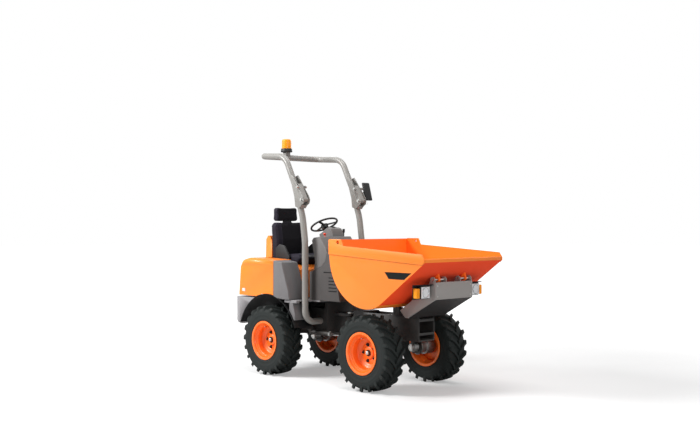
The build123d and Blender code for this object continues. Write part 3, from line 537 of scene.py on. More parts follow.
class DUMPER_OT_tyres(DumperStep):
    """Tyres: moulded carcass with sidewall rings and staggered chevron lugs"""
    bl_idname = "dumper.tyres"
    bl_label = "Tyres"

    def build(self, context):
        for end, hand in WHEELS:
            self.tyre(end, hand)

    def tyre(self, end, hand):
        node = f"tyre_{end}_{hand}"
        low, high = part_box(node)
        centre = joint_place(f"wheel_{end}_{hand}_roll")
        half, outer = (high.y - low.y) / 2, (high.z - low.z) / 2
        work = bmesh.new()
        crown = outer - sizes().lug_height
        # share of the half width, radius: tread, shoulder, two sidewall rings and the bead
        outline = [(0.0, crown), (0.45, crown - 0.002), (0.78, crown - 0.008), (0.92, crown - 0.018),
                   (0.975, crown - 0.034), (0.99, crown - 0.055),
                   (0.975, 0.296), (0.985, 0.290), (0.985, 0.284), (0.97, 0.278),
                   (0.96, 0.250), (0.965, 0.244), (0.965, 0.238), (0.945, 0.232),
                   (0.90, 0.218), (0.86, 0.206), (0.84, 0.1945)]
        profile = [(radius, share * half) for share, radius in outline]
        profile += [(radius, -along) for radius, along in reversed(profile[1:])]
        lathe(work, profile, axis_frame(centre, (0, 1, 0)), 96)
        for side in (RIGHT, LEFT):
            self.lugs(work, centre, side, half, outer, crown)
        piece(work, node + "_moulded", body_of(node), "tyre rubber", [node], 30)

    def lugs(self, work, centre, side, half, outer, crown):
        """One half of the tread: a bar from the middle over the shoulder, spun round the wheel."""
        # columns: share of the half width, top radius, root radius, sweep round the tyre, share of the width
        stations = ((-0.04, outer, crown - 0.012, 0.00, 0.80),
                    (0.30, outer, crown - 0.012, 0.135, 0.95),
                    (0.62, outer - 0.001, crown - 0.018, 0.235, 1.05),
                    (0.90, outer - 0.005, crown - 0.03, 0.300, 1.18),
                    (0.985, outer - 0.020, crown - 0.045, 0.318, 1.2),
                    (1.0, outer - 0.052, crown - 0.072, 0.330, 1.1))
        root_reach = 0.93
        count, width = sizes().lug_count, sizes().lug_width
        start = tau / count / 2 if side == LEFT else 0
        loops = []
        for share, top, root, sweep, spread in stations:
            loop = []
            for across, radius in ((-0.62, root), (-0.42, top), (0.42, top), (0.62, root)):
                angle = start - sweep + across * width * spread / outer
                reach = min(share, root_reach) if radius == root else share
                place = Vector((radius * sin(angle), side * reach * half, radius * cos(angle)))
                loop.append(work.verts.new(centre + place))
            loops.append([work.edges.new((loop[k], loop[k - 1])) for k in range(4)])
        bars = [item for loop in loops for item in loop]
        for first, second in zip(loops, loops[1:]):
            bars += bmesh.ops.bridge_loops(work, edges=first + second)["faces"]
        bars += bmesh.ops.contextual_create(work, geom=loops[0])["faces"]
        bars += bmesh.ops.contextual_create(work, geom=loops[-1])["faces"]
        faces = [item for item in bars if isinstance(item, bmesh.types.BMFace)]
        bmesh.ops.recalc_face_normals(work, faces=faces)
        bars += list({vert for item in bars if isinstance(item, bmesh.types.BMEdge) for vert in item.verts})
        bmesh.ops.spin(work, geom=bars, cent=centre, axis=(0, 1, 0), angle=tau * (count - 1) / count,
                       steps=count - 1, use_duplicate=True)


class DUMPER_OT_rims(DumperStep):
    """Wheel rims: pressed dish with stepped barrel, studs, hub and cap"""
    bl_idname = "dumper.rims"
    bl_label = "Rims"

    def build(self, context):
        for end, hand in WHEELS:
            self.rim(end, hand)

    def rim(self, end, hand):
        node = f"rim_{end}_{hand}"
        body = body_of(node)
        side = HANDS[hand]
        centre = joint_place(f"wheel_{end}_{hand}_roll")
        low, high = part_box(node)
        lip, radius = (high.y - low.y) / 2, (high.z - low.z) / 2
        place = axis_frame(centre, (0, side, 0))
        seat = 0.1935
        outer = [(radius - 0.003, lip), (radius, lip - 0.003), (radius, lip - 0.006),
                 (radius - 0.004, lip - 0.008), (0.197, lip - 0.010), (seat, lip - 0.014), (seat, 0.108),
                 (0.188, 0.100), (0.176, 0.092), (0.171, 0.084), (0.170, -0.030), (0.176, -0.040),
                 (0.190, -0.050), (seat, -0.058), (seat, -lip + 0.014), (0.197, -lip + 0.010),
                 (radius, -lip + 0.007), (radius, -lip)]
        inner = [(0.196, -lip), (0.188, -lip + 0.010), (0.187, -0.056), (0.170, -0.036), (0.164, -0.026),
                 (0.164, 0.074), (0.166, 0.080), (0.173, 0.086), (0.175, 0.094), (0.184, 0.103),
                 (0.187, 0.110), (0.188, lip - 0.012), (0.192, lip - 0.004), (0.197, lip)]
        work = bmesh.new()
        lathe(work, outer + inner, place, 96)
        disc = [(0.0, 0.004), (0.058, 0.004), (0.062, 0.0), (0.105, -0.001), (0.112, -0.004), (0.118, -0.004),
                (0.124, 0.0), (0.150, 0.004), (0.158, 0.010), (0.166, 0.024), (0.166, 0.012), (0.160, 0.0),
                (0.154, -0.006), (0.124, -0.012), (0.0, -0.012)]
        lathe(work, disc, place, 96)
        piece(work, node + "_pressed", body, "wheel orange paint", [node], 30)
        work = bmesh.new()
        hub = [(0.0, 0.020), (0.054, 0.020), (0.060, 0.016), (0.062, 0.008), (0.066, 0.002), (0.0, 0.002)]
        lathe(work, hub, place, 64)
        piece(work, f"hub_flange_{end}_{hand}", body, "wheel orange paint")
        work = bmesh.new()
        out = Vector((0, side, 0))
        boss = [(0.0, 0.036), (0.026, 0.036), (0.032, 0.030), (0.034, 0.020), (0.0, 0.020)]
        lathe(work, boss, place, 48)
        nuts, nut_circle = 5, 0.086
        for index in range(nuts):
            angle = tau * (index + 0.25) / nuts
            foot = place @ Vector((nut_circle * cos(angle), nut_circle * sin(angle), 0.0))
            bolt_heads(work, [foot], out, sizes().stud_size)
            rod(work, foot, foot + out * 0.026, 0.006, 16)
        piece(work, f"wheel_nuts_{end}_{hand}", body, "black underside paint")
        work = bmesh.new()
        cap = [(0.0, 0.046), (0.014, 0.046), (0.018, 0.043), (0.020, 0.036), (0.0, 0.036)]
        lathe(work, cap, place, 48)
        valve = place @ Vector((0.150, 0.02, 0.07))
        rod(work, valve, valve + Vector((0, side * 0.034, 0)), 0.005, 12)
        piece(work, f"hub_cap_{end}_{hand}", body, "zinc plated steel")


class DUMPER_OT_skip(DumperStep):
    """Skip: sheet shell, lifting lugs, front ribs and the plain dark side bands"""
    bl_idname = "dumper.skip"
    bl_label = "Skip"

    def build(self, context):
        softened("skip_shell", "skip paint", 0.0018, 2, 50, 0.02, True)
        softened("skip_ribs", "wheel orange paint", 0.002, 2)
        self.collars()
        # dark strips under the folded bands, painted shadow
        self.seams()
        self.stripes()

    def collars(self):
        """Welded rings round the lifting holes, on both faces of the raised corners."""
        side_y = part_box("skip_shell")[1].y
        hole = Vector((ARTICULATION.x + 0.436, 0, 1.510))
        bore, rim = 0.0125, 0.022
        ring = [(bore, -0.0005), (rim, -0.0005), (rim, 0.0), (rim - 0.003, 0.0002), (bore, 0.0002)]
        work = bmesh.new()
        for side in (RIGHT, LEFT):
            for out, y in ((1, side_y - 0.0002), (-1, side_y - 0.0182)):
                lathe(work, ring, axis_frame((hole.x, side * y, hole.z), (0, side * out, 0)), 32)
        piece(work, "lifting_hole_rings", "skip", "orange paint")

    def seams(self):
        """Dark strip under the folded band on each side of the skip: a painted shadow of the band."""
        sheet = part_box("skip_shell")[1].y - SKIP_BAND
        back, back_z = ARTICULATION.x + 0.302, 1.3795
        front, front_z = ARTICULATION.x + 1.606, 1.3055
        bead = 0.004
        outline = [(back, back_z), (front, front_z), (front, front_z + bead), (back, back_z + bead)]
        for hand, side in HANDS.items():
            work = bmesh.new()
            plate(work, outline, side * (sheet - 0.001), side * (sheet + 0.003))
            piece(work, f"band_joint_{hand}", "skip", "joint sealer")

    def stripes(self):
        """Dark tapering band on each side of the skip."""
        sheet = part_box("skip_shell")[1].y - SKIP_BAND
        front, top = TIP_PIN.x, 1.226
        outline = [(front - 0.356, top), (front + 0.007, top), (front - 0.094, 1.157), (front - 0.300, 1.159)]
        for hand, side in HANDS.items():
            work = bmesh.new()
            plate(work, outline, side * (sheet - 0.001), side * (sheet + 0.0006))
            piece(work, f"skip_band_{hand}", "skip", "stripe film")


class DUMPER_OT_hood(DumperStep):
    """Hood: rounded panels behind and beside the seat, with a louvred back"""
    bl_idname = "dumper.hood"
    bl_label = "Hood"

    def build(self, context):
        lid = softened("hood", "orange paint", 0.004, 2, 50, 0.05, True)
        self.lid_step(lid)
        self.back_grille()
        self.fittings()
        painted("hood_hinges", "zinc plated steel")

    def lid_step(self, lid):
        """The upper part of the hood stands out a little over the lower, with a crease between."""
        side_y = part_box("hood")[1].y
        crease, inset = 1.238, 0.0035
        work = bmesh.new()
        work.from_mesh(lid.data)
        for height in (crease - 0.002, crease + 0.002):
            bmesh.ops.bisect_plane(work, geom=work.verts[:] + work.edges[:] + work.faces[:],
                                   plane_co=(0, 0, height), plane_no=(0, 0, 1))
        for vert in work.verts:
            if vert.co.z < crease and abs(vert.co.y) > side_y - 0.002:
                vert.co.y -= inset if vert.co.y > 0 else -inset
        work.to_mesh(lid.data)
        work.free()

    def back_slope(self, height):
        """Where the hood's back stands at a height."""
        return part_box("hood")[0].x + max(0.0, height - 0.875) * 0.0896

    def back_grille(self):
        """Dark mesh with raised slats on the back of the hood."""
        low, high, half, border = 0.965, 1.165, 0.227, 0.008
        work = bmesh.new()
        for vert in block(work, (-0.0015, -0.23, low), (0.006, 0.23, high)):
            vert.co.x += self.back_slope(vert.co.z)
        piece(work, "hood_mesh", "hood", "dark mesh behind the louvres")
        work = bmesh.new()
        wide = half + border
        frame_bars = [((-wide, low - border), (wide, low)), ((-wide, high), (wide, high + border)),
                      ((-wide, low), (-half, high)), ((half, low), (wide, high))]
        slats = [((-0.228, low + 0.012 + 0.0265 * k), (0.228, low + 0.022 + 0.0265 * k)) for k in range(7)]
        for (y0, z0), (y1, z1) in frame_bars + slats:
            soft_block(work, (-0.005, y0, z0), (0.004, y1, z1), 0.0015)
        for vert in work.verts:
            vert.co.x += self.back_slope(vert.co.z)
        piece(work, "hood_slats", "hood", "orange paint")

    def fittings(self):
        """Two rear latches and a small blank plate."""
        side_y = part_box("hood")[1].y
        work = bmesh.new()
        x = self.back_slope(0.96)
        for y in (-0.34, 0.34):
            soft_block(work, (x - 0.012, y - 0.035, 0.945), (x + 0.004, y + 0.035, 0.985), 0.005, 3)
        piece(work, "hood_latches", "hood", "black moulded plastic")
        work = bmesh.new()
        back, front = ARTICULATION.x - 1.255, ARTICULATION.x - 1.200
        soft_block(work, (back, -side_y - 0.0008, 0.920), (front, -side_y + 0.003, 0.955), 0.0004, 1)
        piece(work, "blank_plate", "hood", "white film")


class DUMPER_OT_rear_body(DumperStep):
    """Counterweight, wheel arches, side panels, floor and steps"""
    bl_idname = "dumper.rear_body"
    bl_label = "Rear body"

    def build(self, context):
        softened("counterweight", "counterweight grey paint", 0.008, 3, 45, 0.04, True)
        softened("side_panels", "side panel plastic", 0.008, 3, 45, 0.03)
        softened("arch_liners", "black moulded plastic")
        softened("platform_floor", "step plate", 0.002, 2)
        painted("engine_block", "black cast block")
        self.rear_lamps()
        self.floor_mat()

    def rear_lamps(self):
        """Red lenses in black bezels."""
        softened("rear_lamps", "red lens", 0.003, 3)
        low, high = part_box("rear_lamps")
        back, front, lip, bar = low.x + 0.0001, high.x + 0.004, 0.004, 0.006
        work = bmesh.new()
        for side in (RIGHT, LEFT):
            y0, y1 = sorted((side * (high.y - 0.1), side * high.y))
            for z in (low.z - lip, high.z + lip - bar):
                soft_block(work, (back, y0 - lip, z), (front, y1 + lip, z + bar), 0.001)
            for y in (y0 - lip, y1 + lip - bar):
                soft_block(work, (back, y, low.z), (front, y + bar, high.z), 0.001)
        piece(work, "rear_lamp_bezels", "rear_frame", "black moulded plastic")

    def floor_mat(self):
        """Ribbed rubber mat on the footplate."""
        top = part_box("platform_floor")[1].z + 0.0003
        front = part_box("pedals")[0].x - 0.02
        half, ribs, pitch = 0.23, 11, 0.04
        work = bmesh.new()
        soft_block(work, (front - 0.165, -half, top), (front, half, top + 0.003), 0.001)
        for k in range(ribs):
            y = pitch * (k - ribs // 2)
            soft_block(work, (front - 0.158, y - 0.006, top + 0.0028),
                       (front - 0.007, y + 0.006, top + 0.0055), 0.001)
        piece(work, "floor_mat", "rear_frame", "mat rubber")


class DUMPER_OT_chassis(DumperStep):
    """Chassis frames, axles, wheel motors, pins, nose and hydraulic rams"""
    bl_idname = "dumper.chassis"
    bl_label = "Chassis"

    def build(self, context):
        for node in ("rear_chassis", "front_chassis", "rear_axle", "front_axle"):
            softened(node, "chassis black paint", 0.0015, 1, 60, 0.03, True)
        for node in ("tip_barrel", "steer_barrel"):
            softened(node, "chassis black paint")
        for node in ("rear_wheel_motors", "front_wheel_motors"):
            softened(node, "cast motor housing", 0.002, 2, 60, 0.001, True)
        for node in ("articulation_pin", "skip_pins"):
            softened(node, "zinc plated steel")
        for node in ("tip_rod", "steer_rod"):
            softened(node, "chromed rod")
        self.nose()
        self.motor_caps()
        self.ram_glands()

    def nose(self):
        """Grey nose box with a black plate on its sloping underside as painted shade, and bolts at the front
        plate's corners.
        """
        softened("nose_box", "nose grey paint", 0.002, 2, 40, 0.02, True)
        low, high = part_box("nose_box")
        back, front = ARTICULATION.x + 1.134, high.x - 0.003
        foot, slope = Vector((ARTICULATION.x + 1.130, 0, 0.750)), 0.207 / 0.370
        back_z, front_z = [foot.z + (x - foot.x) * slope for x in (back, front)]
        below, above = 0.002, 0.003
        # black plate on the sloping underside of the nose: painted shade over the grey paint
        work = bmesh.new()
        plate(work, [(back, back_z - below), (front, front_z - below), (front, front_z + above),
                     (back, back_z + above)], low.y + 0.012, high.y - 0.012)
        piece(work, "nose_underside", "front_frame", "black underside paint")
        work = bmesh.new()
        for side in (RIGHT, LEFT):
            for z in (0.985, 1.09):
                bolt_heads(work, [(high.x - 0.0004, side * (high.y - 0.03), z)], (1, 0, 0), 0.009)
        piece(work, "nose_bolts", "front_frame", "zinc plated steel")

    def motor_caps(self):
        """Bright end covers on the inner ends of the wheel motors."""
        cover = [(0.0, 0.004), (0.030, 0.004), (0.037, 0.002), (0.038, -0.004), (0.0, -0.004)]
        bolt_circle, turns = 0.026, (0.8, 2.4, 3.9, 5.5)
        for end in ("front", "rear"):
            node = f"{end}_wheel_motors"
            centre = middle(node)
            work = bmesh.new()
            for side in (RIGHT, LEFT):
                place = axis_frame((centre.x, side * 0.137, centre.z), (0, -side, 0))
                lathe(work, cover, place, 48)
                spots = [place @ Vector((bolt_circle * cos(turn), bolt_circle * sin(turn), 0.004))
                         for turn in turns]
                bolt_heads(work, spots, (0, -side, 0), 0.007, False)
            piece(work, f"motor_end_covers_{end}", body_of(node), "zinc plated steel")

    def ram_glands(self):
        """Gland nuts where the rods leave their barrels."""
        # columns: ram, bore, outer radius, sides
        for ram, bore, radius, sides in (("tip", 0.0182, 0.038, 48), ("steer", 0.0132, 0.029, 6)):
            axis = Vector(JOINTS[f"{ram}_rod_slide"]["axis"])
            foot = joint_place(f"{ram}_barrel_swing")
            barrel = f"{ram}_barrel"
            reach = max((vert.co - foot).dot(axis) for vert in frame["nodes"][barrel].data.vertices)
            mouth = foot + axis * reach
            work = bmesh.new()
            profile = [(bore, 0.0), (radius - 0.004, 0.0), (radius, -0.004), (radius, -0.026),
                       (radius - 0.004, -0.03), (bore, -0.03)]
            lathe(work, profile, axis_frame(mouth, axis), sides)
            piece(work, barrel + "_gland", body_of(barrel), "cast motor housing")


class DUMPER_OT_lamps(DumperStep):
    """Headlamps and indicators on their brackets"""
    bl_idname = "dumper.lamps"
    bl_label = "Lamps"

    def build(self, context):
        softened("lamp_brackets", "black moulded plastic", 0.0015, 2)
        softened("headlamps", "black moulded plastic", 0.010, 3)
        softened("headlamp_lenses", "lamp glass", 0.003, 2)
        softened("indicators", "amber lens", 0.006, 3)
        self.lamp_faces()

    def lamp_faces(self):
        """Chrome ring, round glass and ribs on each headlamp, and ribs on the indicators."""
        low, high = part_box("headlamp_lenses")
        half = (high.z - low.z) / 2
        ring = [(half - 0.012, 0.0), (half - 0.004, 0.0), (half - 0.005, 0.003), (half - 0.010, 0.003)]
        dome = [(0.0, 0.0045), (half * 0.35, 0.004), (half * 0.6, 0.0025), (half - 0.012, 0.0)]
        pitch = half / 4.5
        rings, glass = bmesh.new(), bmesh.new()
        for side in (RIGHT, LEFT):
            centre = Vector((high.x - 0.0004, side * (high.y - half), middle("headlamp_lenses").z))
            place = axis_frame(centre, (1, 0, 0))
            lathe(rings, ring, place, 64)
            lathe(glass, dome, place, 48)
            for k in range(-3, 4):
                tall = (half - 0.016) * (1 - (k / 4.5) ** 2) ** 0.5
                y = centre.y + k * pitch
                soft_block(rings if abs(k) == 3 else glass, (centre.x, y - 0.001, centre.z - tall),
                           (centre.x + 0.0052, y + 0.001, centre.z + tall), 0.0006, 1)
        piece(rings, "headlamp_rings", "front_frame", "chromed rod")
        piece(glass, "headlamp_glass", "front_frame", "lamp glass")
        low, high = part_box("indicators")
        inner, outer = high.y - 0.038, high.y - 0.006
        rib_count, margin = 7, 0.012
        ribs = bmesh.new()
        for side in (RIGHT, LEFT):
            for k in range(rib_count):
                z = low.z + margin + k * (high.z - low.z - 2 * margin) / (rib_count - 1)
                soft_block(ribs, (high.x - 0.001, side * inner, z - 0.002),
                           (high.x + 0.0014, side * outer, z + 0.002), 0.0008, 1)
        piece(ribs, "indicator_ribs", "front_frame", "amber lens")


class DUMPER_OT_roll_hoop(DumperStep):
    """Roll posts, folding hoop, hinge pins, beacon and mirror"""
    bl_idname = "dumper.roll_hoop"
    bl_label = "Roll hoop"

    def build(self, context):
        softened("roll_posts", "hoop grey paint", 0.0015, 2, 55, 0.012, True)
        softened("roll_hoop", "hoop grey paint", 0.0015, 2, 55, 0.012, True)
        self.hoop_bolts()
        self.beacon()
        self.mirror()

    def hoop_bolts(self):
        """Hinge pins with washers and pull rings, and locking bolts, on the cheeks of both posts."""
        pin = joint_place("roll_hoop_fold")
        post_y, cheek = 0.433, 0.047
        outer = post_y + cheek
        work = bmesh.new()
        for side in (RIGHT, LEFT):
            for face, out in ((outer, side), (outer - 2 * cheek, -side)):
                y = side * face
                bolt_heads(work, [(pin.x, y, pin.z)], (0, out, 0), 0.026)
                lock = (ARTICULATION.x - 0.335, y + out * 0.0138, 2.105)
                bolt_heads(work, [lock], (0, out, 0), 0.020)
            ring = axis_frame((pin.x + 0.034, side * (outer + 0.006), pin.z - 0.022), (0, 1, 0.3))
            lathe(work, [(0.017, 0.0), (0.0185, 0.0015), (0.020, 0.0), (0.0185, -0.0015)], ring, 32)
        piece(work, "hoop_bolts", "rear_frame", "zinc plated steel")

    def beacon(self):
        """Ribbed amber dome on its black foot."""
        low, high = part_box("beacon_lens")
        centre = (low + high) / 2
        radius, tall = (high.x - low.x) / 2, high.z - low.z
        work = bmesh.new()
        dome = [(0.0, tall), (radius * 0.55, tall - 0.001), (radius * 0.82, tall - 0.004),
                (radius * 0.93, tall - 0.011), (radius * 0.97, tall - 0.022), (radius * 0.985, tall * 0.5),
                (radius, 0.008), (radius, 0.0), (0.0, 0.0)]
        flutes, flute_depth = 24, 0.018
        made = lathe(work, dome, axis_frame((centre.x, centre.y, low.z), (0, 0, 1)), 96)
        for vert in made:
            flat = Vector((vert.co.x - centre.x, vert.co.y - centre.y))
            up = (vert.co.z - low.z) / tall
            if 0.08 < up < 0.85 and flat.length > radius * 0.5:
                turn = flat.angle_signed(Vector((1, 0)), 0)
                shrink = 1 - flute_depth * (1 + cos(flutes * turn))
                vert.co.x, vert.co.y = centre.x + flat.x * shrink, centre.y + flat.y * shrink
        piece(work, "beacon_dome", "roll_hoop", "amber lens", ["beacon_lens"], 50)
        low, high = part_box("beacon_base")
        radius, tall = (high.x - low.x) / 2, high.z - low.z
        work = bmesh.new()
        foot = [(0.0, tall), (radius * 0.9, tall), (radius * 0.96, tall - 0.003),
                (radius * 0.96, tall * 0.55), (radius, tall * 0.45), (radius, 0.004), (radius * 0.97, 0.0),
                (0.0, 0.0)]
        lathe(work, foot, axis_frame((centre.x, centre.y, low.z), (0, 0, 1)), 64)
        piece(work, "beacon_foot", "roll_hoop", "black moulded plastic", ["beacon_base"])

    def mirror(self):
        """Mirror housing with its glass to the rear."""
        softened("mirror", "black moulded plastic", 0.014, 4)
        painted("mirror_arm", "black moulded plastic")
        low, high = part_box("mirror")
        lean = (high.x - low.x - 0.036) / (high.z - low.z)
        border = 0.012
        work = bmesh.new()
        for vert in block(work, (-0.0008, low.y + border, low.z + border),
                          (0.002, high.y - border, high.z - border)):
            vert.co.x += low.x + (high.z - vert.co.z) * lean
        piece(work, "mirror_glass", "rear_frame", "mirror glass")


class DUMPER_OT_seat(DumperStep):
    """Driver's seat: box, cushion, back, headrest and side guards"""
    bl_idname = "dumper.seat"
    bl_label = "Seat"

    def build(self, context):
        softened("seat_box", "orange paint", 0.012, 3)
        softened("seat_sides", "black moulded plastic", 0.006, 3)
        # columns: node, bevel, how far a point may move, how far the cover stands proud of the solid, fill
        for node, width, cap, proud, fill in (("seat_cushion", 0.020, 0.014, (0, 0, 0), 0.75),
                                              ("seat_back", 0.018, 0.012, (0.002, 0.004, 0), 0.75),
                                              ("headrest", 0.022, 0.005, (0.003, 0.011, 0.004), 0.85)):
            pad = softened(node, "black seat vinyl", width, 3, 40, 0.02, True)
            self.inflate(pad, cap)
            self.fit(pad, node, Vector(proud))
            self.sew(pad, node)
        self.neck()

    def fit(self, pad, node, proud):
        """Bring a filled pad back to the box of its solid, or a little proud of it."""
        low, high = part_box(node)
        low, high = low - proud, high + proud
        for axis in range(3):
            levels = [vert.co[axis] for vert in pad.data.vertices]
            start, span = min(levels), max(levels) - min(levels)
            for vert in pad.data.vertices:
                vert.co[axis] = low[axis] + (vert.co[axis] - start) / span * (high[axis] - low[axis])

    def neck(self):
        """Flat neck that carries the headrest, set into both pads."""
        low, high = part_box("headrest")
        work = bmesh.new()
        soft_block(work, (high.x - 0.029, -0.056, low.z - 0.060), (high.x - 0.006, 0.056, low.z + 0.030),
                   0.004)
        piece(work, "headrest_neck", body_of("headrest"), "black moulded plastic")

    def inflate(self, pad, cap):
        """Fill the cover by a short cloth simulation under pressure and keep its result."""
        scene = bpy.context.scene
        slack, frames = 0.005, 20
        centre = sum((vert.co for vert in pad.data.vertices), Vector()) / len(pad.data.vertices)
        for vert in pad.data.vertices:
            away = vert.co - centre
            vert.co -= Vector([min(abs(a) * 0.5, slack) * (1 if a > 0 else -1) for a in away])
        self.applied(pad, "REMESH", mode="VOXEL", voxel_size=0.0075)
        rest = [vert.co.copy() for vert in pad.data.vertices]
        cloth = pad.modifiers.new("cloth", "CLOTH")
        cloth.settings.use_pressure = True
        cloth.settings.uniform_pressure_force = 4
        cloth.settings.effector_weights.gravity = 0
        cloth.point_cache.frame_end = frames
        for step in range(1, frames + 1):
            scene.frame_set(step)
        blown = pad.evaluated_get(bpy.context.evaluated_depsgraph_get()).data
        moved = [vert.co.copy() for vert in blown.vertices]
        pad.modifiers.clear()
        scene.frame_set(1)
        for vert, old, new in zip(pad.data.vertices, rest, moved):
            push = new - old
            vert.co = old + push.normalized() * min(push.length, cap)
        self.applied(pad, "SUBSURF", levels=1)
        for face in pad.data.polygons:
            face.use_smooth = True

    def applied(self, made, kind, **settings):
        """Replace an object's mesh by what one modifier makes of it."""
        modifier = made.modifiers.new(kind.lower(), kind)
        for key, value in settings.items():
            setattr(modifier, key, value)
        result = bpy.data.meshes.new_from_object(made.evaluated_get(bpy.context.evaluated_depsgraph_get()))
        materials = list(made.data.materials)
        made.modifiers.clear()
        made.data = result
        if not result.materials:
            for material in materials:
                result.materials.append(material)

    def sew(self, pad, node):
        """Pull the cover in along its seams: round a headrest's face, and beside a pad's side bolsters."""
        low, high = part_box(node)
        centre, half = (low + high) / 2, (high - low) / 2
        flat = node == "seat_cushion"
        up = 0 if flat else 2
        seam_width, frame_inset, bolster_start = 0.009, 0.026, 0.58
        for vert in pad.data.vertices:
            here = vert.co
            side = abs(here.y - centre.y) / half.y
            along = abs(here[up] - centre[up]) / half[up]
            facing = here.z > centre.z if flat else here.x > centre.x
            if not facing:
                continue
            if node == "headrest":
                gap = max(abs(here.y) - (half.y - frame_inset),
                          abs(here.z - centre.z) - (half.z - frame_inset))
                depth = 0.004 * max(0.0, 1 - abs(gap) / seam_width)
            else:
                gap = abs(here.y) - half.y * bolster_start
                depth = 0.007 * max(0.0, 1 - abs(gap) / seam_width) * (along < 0.93)
                if side > bolster_start:
                    rise = min(1.0, (side - bolster_start) / 0.12) * min(1.0, (1.0 - side) / 0.1)
                    depth -= 0.010 * rise * (along < 0.9)
                else:
                    rise = min(1.0, (bolster_start - side) / 0.06) * min(1.0, max(0.0, 0.95 - along) / 0.08)
                    depth += 0.008 * rise
            if flat:
                here.z -= depth
            else:
                here.x -= depth


class DUMPER_OT_console(DumperStep):
    """Console, instrument pod, steering wheel, lever and pedals"""
    bl_idname = "dumper.console"
    bl_label = "Console"

    def build(self, context):
        softened("console", "console plastic", 0.012, 4, 40, 0.03, True)
        softened("dash_pod", "grey moulded plastic", 0.010, 4, 40, 0.03, True)
        for node in ("steering_column", "steering_wheel", "control_lever"):
            softened(node, "black moulded plastic")
        softened("pedals", "black moulded plastic", 0.002, 2)
        self.louvres()
        self.dials()
        self.wheel_cap()
        self.pedal_pads()

    def louvres(self):
        """Cooling slots with hoods on both sides of the console; each slot is a dark strip, painted shade in its
        opening.
        """
        side_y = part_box("console")[1].y
        # columns: start and end ahead of the articulation axis, height
        slots = [(-0.060, 0.110, 1.172)] + [(0.020, 0.150, 1.115 - 0.036 * k) for k in range(5)]
        half, lip = 0.006, 0.004
        dark, hoods = bmesh.new(), bmesh.new()
        for side in (RIGHT, LEFT):
            near = side * (side_y - 0.004)
            for start, end, z in slots:
                x0, x1 = ARTICULATION.x + start, ARTICULATION.x + end
                # the dark strip is painted shade in the slot's opening
                block(dark, (x0, near, z - half), (x1, side * (side_y + 0.0006), z + half))
                soft_block(hoods, (x0 - lip, near, z + half),
                           (x1 + lip, side * (side_y + 0.006), z + 2 * half), 0.0022, 3)
        piece(dark, "console_slots", "rear_frame", "dark mesh behind the louvres")
        piece(hoods, "console_louvres", "rear_frame", "console plastic")

    def dials(self):
        """Round dial between two switches on top of the pod, and a red brake knob beside it."""
        knob = bmesh.new()
        foot = Vector((ARTICULATION.x - 0.250, -0.150, 1.545))
        head = foot + Vector((-0.012, 0, 0.03))
        rod(knob, foot, head, 0.006, 16)
        mushroom = [(0.0, 0.022), (0.010, 0.021), (0.016, 0.016), (0.018, 0.010), (0.014, 0.002),
                    (0.008, 0.0), (0.0, 0.0)]
        lathe(knob, mushroom, axis_frame(head, (-0.3, 0, 1)), 32)
        piece(knob, "brake_knob", "rear_frame", "red knob plastic")
        top = Vector((ARTICULATION.x - 0.305, 0, 1.6525))
        up = Vector((-0.35, 0, 0.94)).normalized()
        place = axis_frame(top, up)
        rim, dial, switches = bmesh.new(), bmesh.new(), bmesh.new()
        bezel = [(0.030, -0.004), (0.037, -0.004), (0.037, 0.003), (0.034, 0.005), (0.030, 0.003)]
        lathe(rim, bezel, place, 64)
        lathe(dial, [(0.0, 0.001), (0.031, 0.001), (0.031, -0.004), (0.0, -0.004)], place, 48)
        piece(rim, "dial_rim", "rear_frame", "black moulded plastic")
        piece(dial, "dial_face", "rear_frame", "dial face")
        button = [(0.0, 0.010), (0.008, 0.009), (0.010, 0.004), (0.010, -0.006), (0.0, -0.006)]
        for y in (-0.056, 0.056):
            lathe(switches, button, axis_frame(top + Vector((0, y, 0)), up), 24)
        piece(switches, "pod_switches", "rear_frame", "black moulded plastic")

    def wheel_cap(self):
        """Dished cap on the steering wheel's hub."""
        axis = Vector(JOINTS["steering_wheel_turn"]["axis"])
        axis = axis if axis.z > 0 else -axis
        centre = joint_place("steering_wheel_turn")
        top = max((vert.co - centre).dot(axis) for vert in frame["nodes"]["steering_wheel"].data.vertices
                  if (vert.co - centre).cross(axis).length < 0.05)
        work = bmesh.new()
        lathe(work, [(0.0, 0.006), (0.016, 0.005), (0.026, 0.002), (0.030, -0.003), (0.0, -0.003)],
              axis_frame(centre + axis * top, axis), 48)
        piece(work, "steering_wheel_cap", "steering_wheel", "black moulded plastic")

    def pedal_pads(self):
        """Ribbed rubber pads on the pedals."""
        low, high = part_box("pedals")
        work = bmesh.new()
        start = Vector((low.x + 0.018, 0, low.z + 0.020))
        run = Vector((high.x - 0.012, 0, high.z - 0.007)) - start
        for y in (-0.115, 0.115):
            for k in range(5):
                spot = start + run * (0.2 + 0.16 * k) + Vector((-0.004, 0, 0.006))
                rib = Vector((0.004, y + 0.030, 0.003)), Vector((-0.004, y - 0.030, -0.003))
                soft_block(work, spot + rib[1], spot + rib[0], 0.0012)
        piece(work, "pedal_pads", "rear_frame", "mat rubber")


